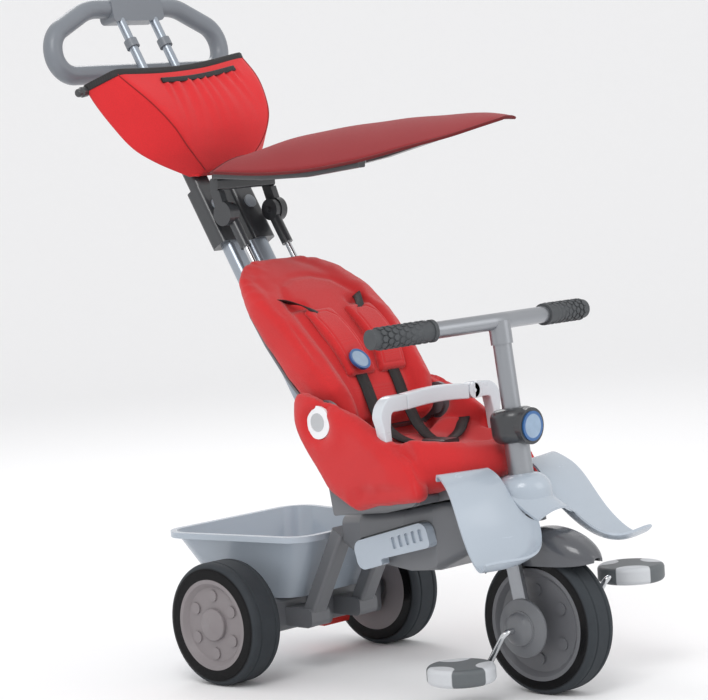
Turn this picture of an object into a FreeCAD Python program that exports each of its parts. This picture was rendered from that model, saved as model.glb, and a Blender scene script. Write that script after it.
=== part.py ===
import FreeCAD, Part
import math
import os

# Toddler push tricycle. Millimetres, +X is the riding direction, +Y the rider's left, +Z up.
# Everything is laid out from the rear axle's middle, and the finished model is moved so that
# its origin lies on the floor under the middle of its own box.

# Wheels and wheelbase
wheelbase = 493.0
rear_wheel_radius = 95.0
rear_wheel_width = 60.0
rear_track = 359.0
rear_disc_radius = 70.0
front_wheel_radius = 104.0
front_wheel_width = 56.0
front_disc_radius = 83.0
tyre_shoulder = 13.0
tyre_groove_depth = 2.0
tyre_groove_width = 4.0
disc_recess = 7.0
disc_rim_width = 6.0
disc_boss_radius = 9.0
disc_boss_height = 2.5
disc_boss_count = 6
hub_radius = 25.0
hub_cap_height = 6.0
hub_pocket_radius = 33.0
hub_pocket_depth = 11.0
axle_radius = 6.0
running_clearance = 0.05
face_clearance = 0.3

# Rear axle housing, legs and brake
housing_length = 276.0
housing_depth = 50.0
housing_height = 54.0
housing_top = 118.0
housing_corner = 9.0
collar_proud = 5.0
collar_width = 12.0
axle_sleeve_radius = 18.0
foot_reach = 82.0
foot_width = 40.0
foot_height = 38.0
leg_spacing = 108.0
leg_width = 32.0
leg_depth = 24.0
leg_top_reach = 141.0
leg_top_height = 226.0
leg_foot_height = 92.0
leg_foot_reach = 66.0
brake_width = 62.0
brake_length = 42.0
brake_thickness = 8.0
brake_offset = 92.0
brake_pivot_height = 66.0
brake_pin_radius = 3.0
brake_ear = 8.0

# Storage tub
tub_rim_height = 222.0
tub_floor_height = 118.3
tub_wall = 3.0
tub_rear_reach = 158.0
tub_front_reach = 106.0
tub_rear_width = 306.0
tub_front_width = 226.0
tub_floor_rear_reach = 112.0
tub_floor_front_reach = 52.0
tub_floor_rear_width = 200.0
tub_floor_front_width = 170.0
tub_corner = 36.0
tub_rim_height_band = 9.0
tub_rim_lip = 8.0

# Chassis casing, along the frame from the tub to the steering column
casing_wall = 3.0
casing_corner = 14.0
casing_reach_shares = [0.3083, 0.4158, 0.6085, 0.7099, 0.8114, 0.9047]
casing_reaches = [wheelbase * share for share in casing_reach_shares]
casing_bottoms = [203.0, 188.0, 178.0, 181.0, 210.0, 240.0]
casing_tops = [252.0, 260.0, 271.0, 281.0, 288.0, 292.0]
casing_widths = [132.0, 166.0, 176.0, 158.0, 96.0, 52.0]
casing_seam_rear_height = 224.0
casing_seam_front_height = 268.0
casing_boss_radius = 27.0
casing_boss_bottom = 250.0
casing_boss_top = 292.0
lever_pocket_gap = 3.0
lever_spacing = 154.0

# Side levers
lever_thickness = 17.0
lever_rib_count = 5
lever_rib_depth = 3.5
lever_rib_width = 7.0
lever_pivot_reach = 217.0
lever_pivot_height = 204.0
lever_length = 138.0
lever_height = 36.0
lever_slope_degrees = 15.0
lever_end_radius = 15.0
lever_pin_radius = 5.0
lever_tab_length = 34.0
lever_tab_drop = 9.0
lever_travel_degrees = 15.0

# Steering column
head_tilt_degrees = 6.7
fork_offset = 9.5
stem_radius = 14.0
head_tube_radius = 18.5
head_tube_bottom = 251.0
ball_bottom = 366.0
ball_top = 417.0
ball_radius = 34.0
ball_corner = 15.0
ball_nose_radius = 27.0
ball_nose_reach = 34.0
ball_button_radius = 22.0
ball_button_depth = 8.0
ball_button_proud = 2.5
ball_button_travel = 3.0
bar_height = 544.0
bar_radius = 12.5
bar_half_length = 235.0
bar_sweep = 36.0
bar_droop = 4.0
bar_bend = 110.0
bar_collar_radius = 16.5
bar_collar_length = 34.0
grip_radius = 14.5
grip_length = 112.0
grip_flange_radius = 16.5
grip_flange_width = 6.0
grip_end_wall = 3.0

# Fork, hub covers and mudguard
fork_leg_spacing = 96.0
fork_leg_thickness = 12.0
fork_leg_depth = 24.0
fork_crown_bottom = 213.0
fork_crown_height = 16.0
hub_cover_radius = 43.0
hub_cover_depth = 12.0
hub_cover_rib = 4.0
guard_wall = 3.0
guard_reaches = [-94.0, -70.0, -34.0, 8.0, 48.0, 82.0, 99.0]
guard_rims = [68.0, 80.0, 86.0, 88.0, 89.0, 91.0, 94.0]
guard_crowns = [84.0, 106.0, 130.0, 141.0, 136.0, 120.0, 103.0]
guard_widths = [52.0, 62.0, 72.0, 76.0, 72.0, 52.0, 22.0]

# Crank and pedals
crank_rod_radius = 4.5
crank_arm = 61.0
crank_angle_degrees = 34.5
crank_arm_spacing = 196.0
crank_bend = 9.0
pedal_radius = 50.0
pedal_thickness = 26.0
pedal_edge = 7.0
pedal_gap = 9.0
pedal_end_wall = 9.0

# Footrest; its corners are a setback behind the front hub and a distance from the middle
footrest_wall = 3.6
footrest_inner_rear = [63.0, 45.0]
footrest_inner_front = [-28.0, 42.0]
footrest_outer_rear = [84.0, 130.0]
footrest_outer_front = [-51.0, 190.0]
footrest_second_rear = [68.0, 72.0]
footrest_second_front = [-58.0, 84.0]
footrest_third_rear = [75.0, 100.0]
footrest_third_front = [-60.0, 134.0]
footrest_rear_height = 334.0
footrest_lip_drop = 9.0
footrest_ridge_height = 262.0
footrest_basin_height = 211.0
footrest_toe_rise = 11.0
footrest_web_height = 276.0
footrest_web_rear = 23.0
footrest_web_front = -35.0
cup_radius = 42.0
cup_bottom = 264.0
cup_top = 321.0
cup_shoulder = 26.0
cup_wall = 3.5

# Push handle
handle_lean_degrees = 30.5
handle_reach = -78.0
handle_height = 646.0
outer_tube_inner_edge = 1.5
outer_tube_outer_edge = 46.0
outer_tube_depth = 24.0
outer_tube_wall = 1.8
outer_tube_foot = -478.0
outer_tube_top = 22.0
slide_tube_radius = 7.5
slide_tube_spacing = 72.0
slide_tube_stay = 37.0
slide_tube_top = 455.0
lock_bottom = 22.0
lock_top = 124.0
lock_width = 45.0
lock_depth = 33.0
lock_corner = 8.0
lock_cap_length = 44.0
lock_cap_width = 34.0
lock_cap_depth = 25.0
lock_button_radius = 11.0
lock_button_place = 87.0
lock_button_proud = 3.5
lock_button_travel = 3.0
lock_button_depth = 4.0
handle_travel = 60.0

# Handle ring
ring_lean_degrees = 10.0
ring_reach = -309.0
ring_height = 995.0
ring_half_width = 181.5
ring_lower_edge = -50.0
ring_side_edge = 14.0
ring_upper_edge = 57.0
ring_shoulder_half_width = 95.0
ring_tube_radius = 15.5
ring_lower_bend = 36.0
ring_side_bend = 43.0
ring_upper_bend = 80.0
bridge_half_width = 55.0
bridge_lower = 33.0
bridge_upper = 71.0
bridge_thickness = 34.0
ring_collar_radius = 11.0
ring_collar_length = 14.0
ring_collar_drop = 60.6

# Storage bag on the handle
bag_station_heights = [142.0, 170.0, 200.0, 240.0, 290.0, 362.0]
bag_half_widths = [58.0, 104.0, 134.0, 157.0, 175.0, 187.0]
bag_depths = [21.0, 45.0, 66.0, 72.0, 66.0, 44.0]
bag_back_depths = [12.9, 12.9, 7.8, 7.8, 7.8, 7.8]
bag_wall = 3.0
bag_corner = 26.0
bag_front_share = 0.74
bag_mouth_height = 945.0
bag_mouth_slope_degrees = -9.0
bag_sag_degrees = 3.5

# Seat; the places from its rear to the front hub are shares of that run
seat_rear = 206.0
seat_run = wheelbase - seat_rear
base_middle_share = 0.3275
base_front_share = 0.7387
cheek_front_share = 0.5575
seat_dip_share = 0.5017
seat_nose_share = 0.7875
hip_crest_share = 0.3833
hip_shoulder_share = 0.5366
hip_front_share = 0.6272
buckle_share = 0.338
bumper_share = 0.3345
bumper_leg_foot_share = 0.3554
base_middle_reach = seat_rear + seat_run * base_middle_share
base_front = seat_rear + seat_run * base_front_share
cheek_front = seat_rear + seat_run * cheek_front_share
seat_dip_reach = seat_rear + seat_run * seat_dip_share
seat_nose = seat_rear + seat_run * seat_nose_share
hip_crest_reach = seat_rear + seat_run * hip_crest_share
hip_shoulder_reach = seat_rear + seat_run * hip_shoulder_share
hip_front_reach = seat_rear + seat_run * hip_front_share
buckle_reach = seat_rear + seat_run * buckle_share
bumper_reach = seat_rear + seat_run * bumper_share
bumper_leg_foot_reach = seat_rear + seat_run * bumper_leg_foot_share

# Seat base
base_half_width = 128.0
base_cheek = 6.0
base_rear = 196.0
base_rear_bottom = 262.0
base_middle_bottom = 272.0
base_front_bottom = 297.0
base_thickness = 14.0
recline_reach = 191.0
recline_height = 405.0
recline_pin_radius = 12.0
recline_boss_radius = 31.0
ring_disc_radius = 25.0
ring_disc_width = 18.0
recline_button_radius = 14.0
recline_button_length = 9.0
recline_button_travel = 4.0
cheek_front_height = 352.0
cheek_rear = 172.0

# Seat cushion
seat_rear_height = 364.0
seat_dip_height = 344.0
seat_lip_depth = 14.0
seat_lip_height = 368.0
seat_lip_rise = 18.0
seat_nose_bow = 58.0
seat_nose_height = 348.0
seat_under_nose_height = 324.0
seat_bolster_rise = 26.0
hip_half_width = 141.0
hip_edge = 10.0
hip_rear = 141.0
hip_rear_height = 452.0
hip_rear_low = 404.0
hip_waist_reach = 163.0
hip_waist_height = 356.0
hip_seat_reach = 195.0
hip_seat_height = 300.0
hip_foot_reach = 240.0
hip_foot_height = 274.0
hip_front_low = 305.0
hip_shoulder_height = 345.0
hip_crest_height = 378.0
hip_crown = 6.0

# Backrest
back_lean_degrees = 38.2
back_reach = 110.0
back_height = 449.0
back_station_heights = [-96.0, -50.0, 20.0, 85.0, 140.0, 188.0, 212.0, 228.0]
back_half_widths = [96.0, 111.0, 117.0, 118.0, 115.0, 102.0, 80.0, 46.0]
back_depths = [56.0, 71.0, 74.0, 68.0, 55.0, 37.0, 27.0, 19.0]
back_hollow_depths = [40.0, 52.0, 60.0, 56.0, 45.0, 30.0, 22.0, 16.0]
back_inset_depths = [8.0, 3.0, 0.0, 0.0, 2.0, 5.0, 6.0, 7.0]
back_rim_share = 0.84
back_floor_share = 0.60
back_corner = 13.0
shell_thickness = 5.0
shell_share = 0.93
shell_arm_thickness = 6.0

# Harness
pad_station_heights = [96.0, 66.0, 10.0, -40.0]
pad_low_depths = [54.5, 57.5, 60.3, 55.0]
pad_crown_heights = [9.0, 15.0, 16.0, 11.0]
pad_offset_widths = [52.0, 51.0, 48.0, 42.0]
pad_width = 56.0
strap_width = 22.0
strap_thickness = 2.0
buckle_length = 44.0
buckle_width = 36.0
buckle_thickness = 13.0

# Bumper bar
bumper_spacing = 240.0
bumper_height = 431.0
bumper_bar_height = 25.0
bumper_bar_depth = 20.0
bumper_leg_width = 20.0
bumper_leg_foot_height = 336.0
bumper_hinge_offset = 76.0
bumper_pin_radius = 3.0
bumper_tongue = 9.0
bumper_gap = 0.4

# Canopy
canopy_pivot_reach = -70.0
canopy_pivot_height = 715.0
canopy_spacing = 92.0
canopy_rod_radius = 5.0
canopy_rod_foot_reach = -6.0
canopy_rod_foot_height = 607.0
sleeve_radius = 9.0
sleeve_length = 62.0
knuckle_radius = 17.0
knuckle_width = 10.0
knuckle_pin_radius = 4.0
canopy_disc_radius = 19.0
canopy_disc_width = 12.0
neck_reach = -84.0
neck_height = 752.0
neck_width = 20.0
crossbar_height = 19.0
crossbar_depth = 18.0
canopy_thickness = 3.0
canopy_reaches = [-62.0, 50.0, 150.0, 254.0, 340.0, 410.0, 455.0, 478.0]
canopy_edges = [782.0, 777.0, 779.0, 790.0, 806.0, 820.0, 832.0, 840.0]
canopy_far_rises = [0.0, 6.0, 20.0, 30.0, 26.0, 20.0, 8.0, 0.0]
canopy_ridges = [804.0, 828.0, 839.0, 845.0, 847.0, 847.0, 845.0, 842.0]
canopy_half_widths = [88.0, 97.0, 99.0, 93.0, 78.0, 59.0, 33.0, 9.0]
fan_rear_width = 168.0
fan_front_width = 40.0
fan_rear_height = 769.0
fan_front_reach = 172.0
fan_front_height = 784.0
fan_thickness = 10.0
fan_arm_width = 15.0
fan_arm_thickness = 8.0
fan_arm_inset = 3.0

overrun = 5.0

Vector = FreeCAD.Vector
along_y = Vector(0, 1, 0)
along_z = Vector(0, 0, 1)


# Basic forms

def turned(direction, degrees):
    return FreeCAD.Rotation(along_y, degrees).multVec(direction)


def rod(start, end, radius):
    run = end - start
    return Part.makeCylinder(radius, run.Length, start, run)


def pipe(start, end, outer, inner):
    return rod(start, end, outer).cut(rod(start, end, inner))


def corner_arc(before, corner, after, radius):
    towards_before = (before - corner).normalize()
    towards_after = (after - corner).normalize()
    half = towards_before.getAngle(towards_after) / 2
    reach = radius / math.tan(half)
    inward = (towards_before + towards_after).normalize()
    middle = corner + inward * (radius / math.sin(half) - radius)
    return [corner + towards_before * reach, middle, corner + towards_after * reach]


def rounded_edges(points, radii, closed):
    count = len(points)
    stops = []
    for place in range(count):
        is_end = not closed and place in (0, count - 1)
        if radii[place] == 0 or is_end:
            stops.append([points[place]])
        else:
            after = points[(place + 1) % count]
            stops.append(corner_arc(points[place - 1], points[place], after, radii[place]))
    edges = []
    for place in range(count):
        if len(stops[place]) == 3:
            edges.append(Part.Arc(*stops[place]).toShape())
        if closed or place < count - 1:
            run_start = stops[place][-1]
            run_end = stops[(place + 1) % count][0]
            if (run_end - run_start).Length > 0.001 * (points[0] - points[1]).Length:
                edges.append(Part.LineSegment(run_start, run_end).toShape())
    return edges


def rounded_wire(points, radii, closed=True):
    return Part.Wire(rounded_edges(points, radii, closed))


def plate(points, radii, thickness):
    return Part.Face(rounded_wire(points, radii)).extrude(thickness)


def side_plate(outline, radii, low_y, high_y):
    points = [Vector(x, low_y, z) for x, z in outline]
    return plate(points, radii, Vector(0, high_y - low_y, 0))


def lathe(outline, radii, centre):
    points = [centre + Vector(0, along, radius) for along, radius in outline]
    face = Part.Face(rounded_wire(points, radii))
    return face.revolve(centre, along_y, 360)


def bent_tube(points, bends, radius, closed=False):
    path = rounded_wire(points, bends, closed)
    first = path.OrderedEdges[0]
    start = first.valueAt(first.FirstParameter)
    heading = first.tangentAt(first.FirstParameter)
    ring = Part.Wire(Part.makeCircle(radius, start, heading))
    return path.makePipeShell([ring], True, False)


def loft(wires, ruled=False):
    return Part.makeLoft(wires, True, ruled)


def band(centre, across, up, half_across, low, high, radius):
    corners = [(-half_across, low), (half_across, low), (half_across, high), (-half_across, high)]
    points = [centre + across * a + up * h for a, h in corners]
    return rounded_wire(points, [radius] * 4)


def joined(shapes):
    return shapes[0].fuse(shapes[1:]).removeSplitter()


def mirrored(shape):
    return shape.mirror(Vector(0, 0, 0), along_y)


# Reference points and directions

rear_hub = Vector(0, 0, rear_wheel_radius)
front_hub = Vector(wheelbase, 0, front_wheel_radius)
steer_up = turned(along_z, -head_tilt_degrees)
steer_base = front_hub - Vector(fork_offset, 0, 0)
handle_up = turned(along_z, -handle_lean_degrees)
handle_front = turned(Vector(1, 0, 0), -handle_lean_degrees)
handle_base = Vector(handle_reach, 0, handle_height)
back_up = turned(along_z, -back_lean_degrees)
back_front = turned(Vector(1, 0, 0), -back_lean_degrees)
back_base = Vector(back_reach, 0, back_height)
recline_axis = Vector(recline_reach, 0, recline_height)
canopy_axis = Vector(canopy_pivot_reach, 0, canopy_pivot_height)
crank_down = Vector(-math.sin(math.radians(crank_angle_degrees)), 0,
                    -math.cos(math.radians(crank_angle_degrees)))


def on_steering(height):
    return steer_base + steer_up * ((height - steer_base.z) / steer_up.z)


def on_handle(along, front=0, y=0):
    return handle_base + handle_up * along + handle_front * front + Vector(0, y, 0)


def on_back(along, front=0, y=0):
    return back_base + back_up * along + back_front * front + Vector(0, y, 0)


# Rear wheels

def tyre(centre, radius, width, seat):
    half = width / 2
    groove = tyre_groove_width / 2
    line = half - tyre_shoulder - groove
    outline = [(-half, seat), (-half, radius), (-line - groove, radius),
               (-line, radius - tyre_groove_depth), (-line + groove, radius),
               (line - groove, radius), (line, radius - tyre_groove_depth),
               (line + groove, radius), (half, radius), (half, seat)]
    radii = [0, tyre_shoulder * 0.9, 0, 0, 0, 0, 0, 0, tyre_shoulder * 0.9, 0]
    return lathe(outline, radii, centre)


def disc_bosses(centre, face_y, side, ring_radius):
    bosses = []
    for place in range(disc_boss_count):
        angle = 360 / disc_boss_count * place
        spot = centre + turned(along_z * ring_radius, angle) + Vector(0, face_y, 0)
        bosses.append(rod(spot, spot + along_y * (side * disc_boss_height), disc_boss_radius))
    return bosses


def rear_disc(side):
    centre = rear_hub + Vector(0, side * rear_track / 2, 0)
    half = rear_wheel_width / 2
    face = half - disc_recess
    rim = rear_disc_radius - disc_rim_width
    outline = [(-half, hub_pocket_radius), (-half, rear_disc_radius), (half, rear_disc_radius),
               (half, rim), (face, rim - disc_recess), (face, axle_radius + running_clearance),
               (hub_pocket_depth - half, axle_radius + running_clearance),
               (hub_pocket_depth - half, hub_pocket_radius)]
    outline = [(side * along, radius) for along, radius in outline]
    body = lathe(outline, [0] * 8, centre)
    bosses = disc_bosses(centre, side * face, side, (rim + hub_radius) / 2)
    return joined([body] + bosses)


def rear_cap(side):
    centre = rear_hub + Vector(0, side * (rear_track / 2 + rear_wheel_width / 2 - disc_recess), 0)
    room = axle_radius + running_clearance
    outline = [(0, room), (0, hub_radius), (hub_cap_height, hub_radius), (2 * hub_cap_height, 0),
               (hub_cap_height, 0), (hub_cap_height, room)]
    radii = [0, 0, hub_cap_height / 2, 0, 0, 0]
    return lathe([(side * along, radius) for along, radius in outline], radii, centre)


def rear_axle():
    reach = rear_track / 2 + rear_wheel_width / 2 - disc_recess + hub_cap_height - face_clearance
    return rod(rear_hub - along_y * reach, rear_hub + along_y * reach, axle_radius)


# Rear axle housing, legs and brake

def housing():
    bottom = housing_top - housing_height
    outline = [(-housing_depth / 2, bottom), (housing_depth / 2, bottom),
               (housing_depth / 2, housing_top), (-housing_depth / 2, housing_top)]
    beam = side_plate(outline, [housing_corner] * 4, -housing_length / 2, housing_length / 2)
    parts = [beam]
    wheel_face = rear_track / 2 - rear_wheel_width / 2 + hub_pocket_depth - face_clearance
    parts.append(rod(rear_hub - along_y * wheel_face, rear_hub + along_y * wheel_face,
                     axle_sleeve_radius))
    for side in (-1, 1):
        end = side * housing_length / 2
        for middle in (side * collar_width * 1.5, end - side * collar_width / 2):
            half = housing_depth / 2 + collar_proud
            ring = [(-half, bottom - collar_proud), (half, bottom - collar_proud),
                    (half, housing_top - collar_proud), (-half, housing_top - collar_proud)]
            parts.append(side_plate(ring, [housing_corner] * 4, middle - collar_width / 2,
                                    middle + collar_width / 2))
        foot = [(0, bottom + housing_corner), (foot_reach, bottom + housing_corner),
                (foot_reach, bottom + foot_height), (0, bottom + foot_height)]
        low = side * leg_spacing / 2 - foot_width / 2
        parts.append(side_plate(foot, [0, housing_corner, housing_corner, 0], low,
                                low + foot_width))
    parts.extend(brake_ears())
    body = joined(parts)
    reach = wheel_face + overrun
    body = body.cut(rod(rear_hub - along_y * reach, rear_hub + along_y * reach, axle_radius))
    for side in (-1, 1):
        body = body.cut(leg_bar(side))
    return body.cut(brake_pin(brake_pin_radius))


def leg_bar(side):
    y = side * leg_spacing / 2
    foot = Vector(leg_foot_reach, y, leg_foot_height)
    top = Vector(leg_top_reach, y, leg_top_height)
    heading = top - foot
    across = Vector(heading.z, 0, -heading.x).normalize()
    wire = band(foot, along_y, across, leg_width / 2, -leg_depth / 2, leg_depth / 2,
                leg_depth / 4)
    return Part.Face(wire).extrude(heading)


def rear_legs():
    return Part.makeCompound([leg_bar(1), leg_bar(-1)])


def brake_centre():
    return Vector(-housing_depth / 2 - brake_ear, brake_offset, brake_pivot_height)


def brake_ears():
    ears = []
    centre = brake_centre()
    for side in (-1, 1):
        inner = brake_offset + side * (brake_width / 2 + face_clearance)
        outer = inner + side * brake_ear
        outline = [(centre.x - brake_ear, centre.z - brake_ear),
                   (-housing_depth / 2 + brake_ear, centre.z - brake_ear / 4),
                   (-housing_depth / 2 + brake_ear, centre.z + brake_ear),
                   (centre.x - brake_ear, centre.z + brake_ear)]
        radii = [brake_ear * 0.7, 0, 0, brake_ear * 0.7]
        ears.append(side_plate(outline, radii, min(inner, outer), max(inner, outer)))
    return ears


def brake_pin(radius):
    centre = brake_centre()
    reach = brake_width / 2 + face_clearance + brake_ear
    return rod(centre - along_y * reach, centre + along_y * reach, radius)


def brake_pedal():
    centre = brake_centre()
    barrel = rod(centre - along_y * (brake_width / 2), centre + along_y * (brake_width / 2),
                 brake_ear * 0.8)
    top = centre.z - brake_ear
    outline = [(centre.x + brake_ear * 0.6, centre.z), (centre.x - brake_length, top),
               (centre.x - brake_length, top - brake_thickness),
               (centre.x, top - brake_thickness / 2)]
    radii = [0, brake_thickness / 3, brake_thickness / 3, 0]
    pad = side_plate(outline, radii, brake_offset - brake_width / 2,
                     brake_offset + brake_width / 2)
    return joined([barrel, pad]).cut(brake_pin(brake_pin_radius + running_clearance))


# Storage tub

def tub_outline(height, rear, front, rear_width, front_width, inset):
    points = [Vector(-rear + inset, -rear_width / 2 + inset, height),
              Vector(front - inset, -front_width / 2 + inset, height),
              Vector(front - inset, front_width / 2 - inset, height),
              Vector(-rear + inset, rear_width / 2 - inset, height)]
    return rounded_wire(points, [tub_corner - inset] * 4)


def tub_floor_outline(height, inset):
    return tub_outline(height, tub_floor_rear_reach, tub_floor_front_reach,
                       tub_floor_rear_width, tub_floor_front_width, inset)


def tub_rim_outline(height, inset):
    return tub_outline(height, tub_rear_reach, tub_front_reach, tub_rear_width,
                       tub_front_width, inset)


def tub():
    outer = loft([tub_floor_outline(tub_floor_height, 0), tub_rim_outline(tub_rim_height, 0)], True)
    band_bottom = tub_rim_height - tub_rim_height_band
    rim = Part.Face(tub_rim_outline(band_bottom, -tub_rim_lip))
    rim = rim.extrude(along_z * tub_rim_height_band)
    inner = loft([tub_floor_outline(tub_floor_height + tub_wall, tub_wall),
                  tub_rim_outline(tub_rim_height, tub_wall)], True)
    return outer.fuse(rim).cut(inner)


# Chassis casing

def casing_loft(inset, widest):
    wires = []
    last = len(casing_reaches) - 1
    for place in range(last + 1):
        reach = casing_reaches[place]
        if place == 0:
            reach = reach + inset
        if place == last:
            reach = reach - inset * 3
        half = min(casing_widths[place] / 2, widest) - inset
        low = casing_bottoms[place] + inset
        high = casing_tops[place] - inset
        wires.append(band(Vector(reach, 0, 0), along_y, along_z, half, low, high,
                          casing_corner - inset))
    return loft(wires, True)


def column_boss(radius):
    return rod(on_steering(casing_boss_bottom), on_steering(casing_boss_top), radius)


def seam_half(above):
    rear = casing_reaches[0] - overrun
    front = casing_reaches[-1] + casing_boss_radius * 3
    slope = (casing_seam_front_height - casing_seam_rear_height)
    slope = slope / (casing_reaches[-1] - casing_reaches[0])
    far = casing_seam_front_height if above else -casing_seam_front_height
    outline = [(rear, casing_seam_rear_height), (front, casing_seam_rear_height
               + slope * (front - rear)), (front, casing_seam_rear_height + far),
               (rear, casing_seam_rear_height + far)]
    reach = casing_widths[2]
    return side_plate(outline, [0] * 4, -reach, reach)


def casing():
    body = casing_loft(0, casing_widths[2]).fuse(column_boss(casing_boss_radius))
    body = body.cut(casing_loft(casing_wall, lever_spacing / 2))
    cut_reach = on_steering(casing_boss_bottom - 3 * overrun)
    body = body.cut(rod(cut_reach, on_steering(casing_boss_top + overrun), head_tube_radius))
    for side in (-1, 1):
        body = body.cut(lever_pocket(side))
        body = body.cut(lever_pin(side, lever_pin_radius + running_clearance))
        body = body.cut(outer_tube_solid(side))
        body = body.cut(leg_bar(side))
    return body


# Side levers

def lever_frame(side):
    slope = FreeCAD.Rotation(along_y, -lever_slope_degrees)
    forward = slope.multVec(Vector(1, 0, 0))
    upward = slope.multVec(along_z)
    return Vector(lever_pivot_reach, side * lever_spacing / 2, lever_pivot_height), forward, upward


def lever_outline(side, grow, drop):
    pivot, forward, upward = lever_frame(side)
    low = -lever_height / 2
    places = [(-lever_end_radius - grow, low - drop), (lever_tab_length, low - drop),
              (lever_tab_length, low), (lever_length + grow, low - grow - drop / 3),
              (lever_length + grow, -low + grow), (-lever_end_radius - grow, -low + grow)]
    return [pivot + forward * a + upward * b for a, b in places]


def lever_blank(side):
    points = lever_outline(side, 0, lever_tab_drop)
    radii = [lever_end_radius, lever_tab_drop / 3, lever_tab_drop / 3, lever_end_radius / 2,
             lever_end_radius, lever_end_radius]
    start = Vector(0, side * running_clearance * 4, 0)
    points = [point + start for point in points]
    return plate(points, radii, along_y * (side * lever_thickness))


def lever_pin(side, radius):
    pivot, forward, upward = lever_frame(side)
    return rod(pivot - along_y * (side * casing_wall), pivot + along_y * (side * lever_thickness / 2),
               radius)


def seat_lever(side):
    pivot, forward, upward = lever_frame(side)
    body = lever_blank(side).fuse(lever_pin(side, lever_pin_radius))
    face = along_y * (side * (lever_thickness + running_clearance * 4 - lever_rib_depth))
    pitch = 2 * lever_rib_width
    first = lever_length - pitch * lever_rib_count
    for place in range(lever_rib_count):
        start = pivot + face + forward * (first + pitch * place)
        wire = band(start, forward, upward, lever_rib_width / 2, -lever_height / 4,
                    lever_height / 4, lever_rib_width / 3)
        body = body.cut(Part.Face(wire).extrude(along_y * (side * lever_rib_depth * 2)))
    return body


def lever_pocket(side):
    pivot, forward, upward = lever_frame(side)
    reach = lever_length * 1.1
    room = lever_length * math.tan(math.radians(lever_travel_degrees))
    places = [(-lever_end_radius - lever_pocket_gap, lever_height / 2 + lever_pocket_gap),
              (-lever_end_radius - lever_pocket_gap, -lever_height - room),
              (reach, -lever_height - room), (lever_length + lever_pocket_gap, 0),
              (lever_length + lever_pocket_gap, lever_height / 2 + lever_pocket_gap)]
    points = [pivot + forward * a + upward * b for a, b in places]
    return plate(points, [lever_end_radius, 0, 0, 0, lever_end_radius],
                 along_y * (side * lever_thickness * 2))


# Steering column

def head_tube():
    return pipe(on_steering(head_tube_bottom), on_steering(ball_bottom), head_tube_radius,
                stem_radius + running_clearance)


def ball_middle():
    return on_steering((ball_bottom + ball_top) / 2)


def ball_face():
    return ball_middle() + Vector(ball_nose_reach, 0, 0)


def steering_ball():
    start = on_steering(ball_bottom)
    height = (on_steering(ball_top) - start).Length
    points = [start, start + Vector(ball_radius, 0, 0), start + Vector(ball_radius, 0, height),
              start + Vector(0, 0, height)]
    face = Part.Face(rounded_wire(points, [0, ball_corner, ball_corner, 0]))
    barrel = face.revolve(start, along_z, 360)
    barrel.rotate(start, along_y, -head_tilt_degrees)
    nose = rod(ball_middle(), ball_face(), ball_nose_radius)
    body = joined([barrel, nose])
    bore = rod(on_steering(ball_bottom - overrun), on_steering(ball_top + overrun),
               stem_radius + running_clearance)
    pocket_start = ball_face() - Vector(ball_button_depth + ball_button_travel, 0, 0)
    pocket = rod(pocket_start, ball_face() + Vector(overrun, 0, 0),
                 ball_button_radius + running_clearance)
    seat = rod(on_steering(ball_bottom - overrun), on_steering(ball_bottom), head_tube_radius)
    return body.cut(bore).cut(pocket).cut(seat)


def steering_button():
    back = ball_face() - Vector(ball_button_depth - face_clearance, 0, 0)
    front = ball_face() + Vector(ball_button_proud, 0, 0)
    return rod(back, front, ball_button_radius)


def bar_ends():
    centre = on_steering(bar_height)
    left = centre + Vector(-bar_sweep, bar_half_length, -bar_droop)
    right = centre + Vector(-bar_sweep, -bar_half_length, -bar_droop)
    return right, centre, left


def bar_tube(radius):
    right, centre, left = bar_ends()
    return bent_tube([right, centre, left], [0, bar_bend, 0], radius)


def handlebar():
    middle = on_steering(bar_height)
    low = middle - steer_up * bar_collar_length
    body = bar_tube(bar_radius).fuse(rod(low, middle, bar_collar_radius))
    return body.cut(stem())


def stem():
    column = rod(on_steering(fork_crown_bottom), on_steering(bar_height), stem_radius)
    return column.cut(fork())


def grip(side):
    right, centre, left = bar_ends()
    end = left if side > 0 else right
    inward = (centre - end).normalize()
    start = end - inward * grip_end_wall
    inner = end + inward * grip_length
    body = joined([rod(start, inner, grip_radius),
                   rod(inner - inward * grip_flange_width, inner, grip_flange_radius)])
    return body.cut(rod(end, inner + inward * overrun, bar_radius))


# Fork, hub covers and mudguard

def fork():
    crown_low = on_steering(fork_crown_bottom)
    half = fork_leg_spacing / 2
    outer = half + fork_leg_thickness / 2
    crown = band(crown_low, along_y, Vector(1, 0, 0), outer, -fork_leg_depth / 2,
                 fork_leg_depth / 2, fork_leg_depth / 5)
    parts = [Part.Face(crown).extrude(steer_up * fork_crown_height)]
    for side in (-1, 1):
        y = side * half
        top = crown_low + Vector(0, y, 0)
        low = front_hub + Vector(0, y, 0)
        wire_low = band(low, along_y, Vector(1, 0, 0), fork_leg_thickness / 2,
                        -fork_leg_depth / 2, fork_leg_depth / 2, fork_leg_thickness / 4)
        wire_top = band(top, along_y, Vector(1, 0, 0), fork_leg_thickness / 2,
                        -fork_leg_depth / 2, fork_leg_depth / 2, fork_leg_thickness / 4)
        parts.append(loft([wire_low, wire_top], True))
        end = low - along_y * (fork_leg_thickness / 2)
        parts.append(rod(end, end + along_y * fork_leg_thickness, fork_leg_depth * 0.8))
    body = joined(parts)
    reach = fork_leg_spacing
    bore = rod(front_hub - along_y * reach, front_hub + along_y * reach,
               crank_rod_radius + running_clearance)
    return body.cut(bore)


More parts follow.
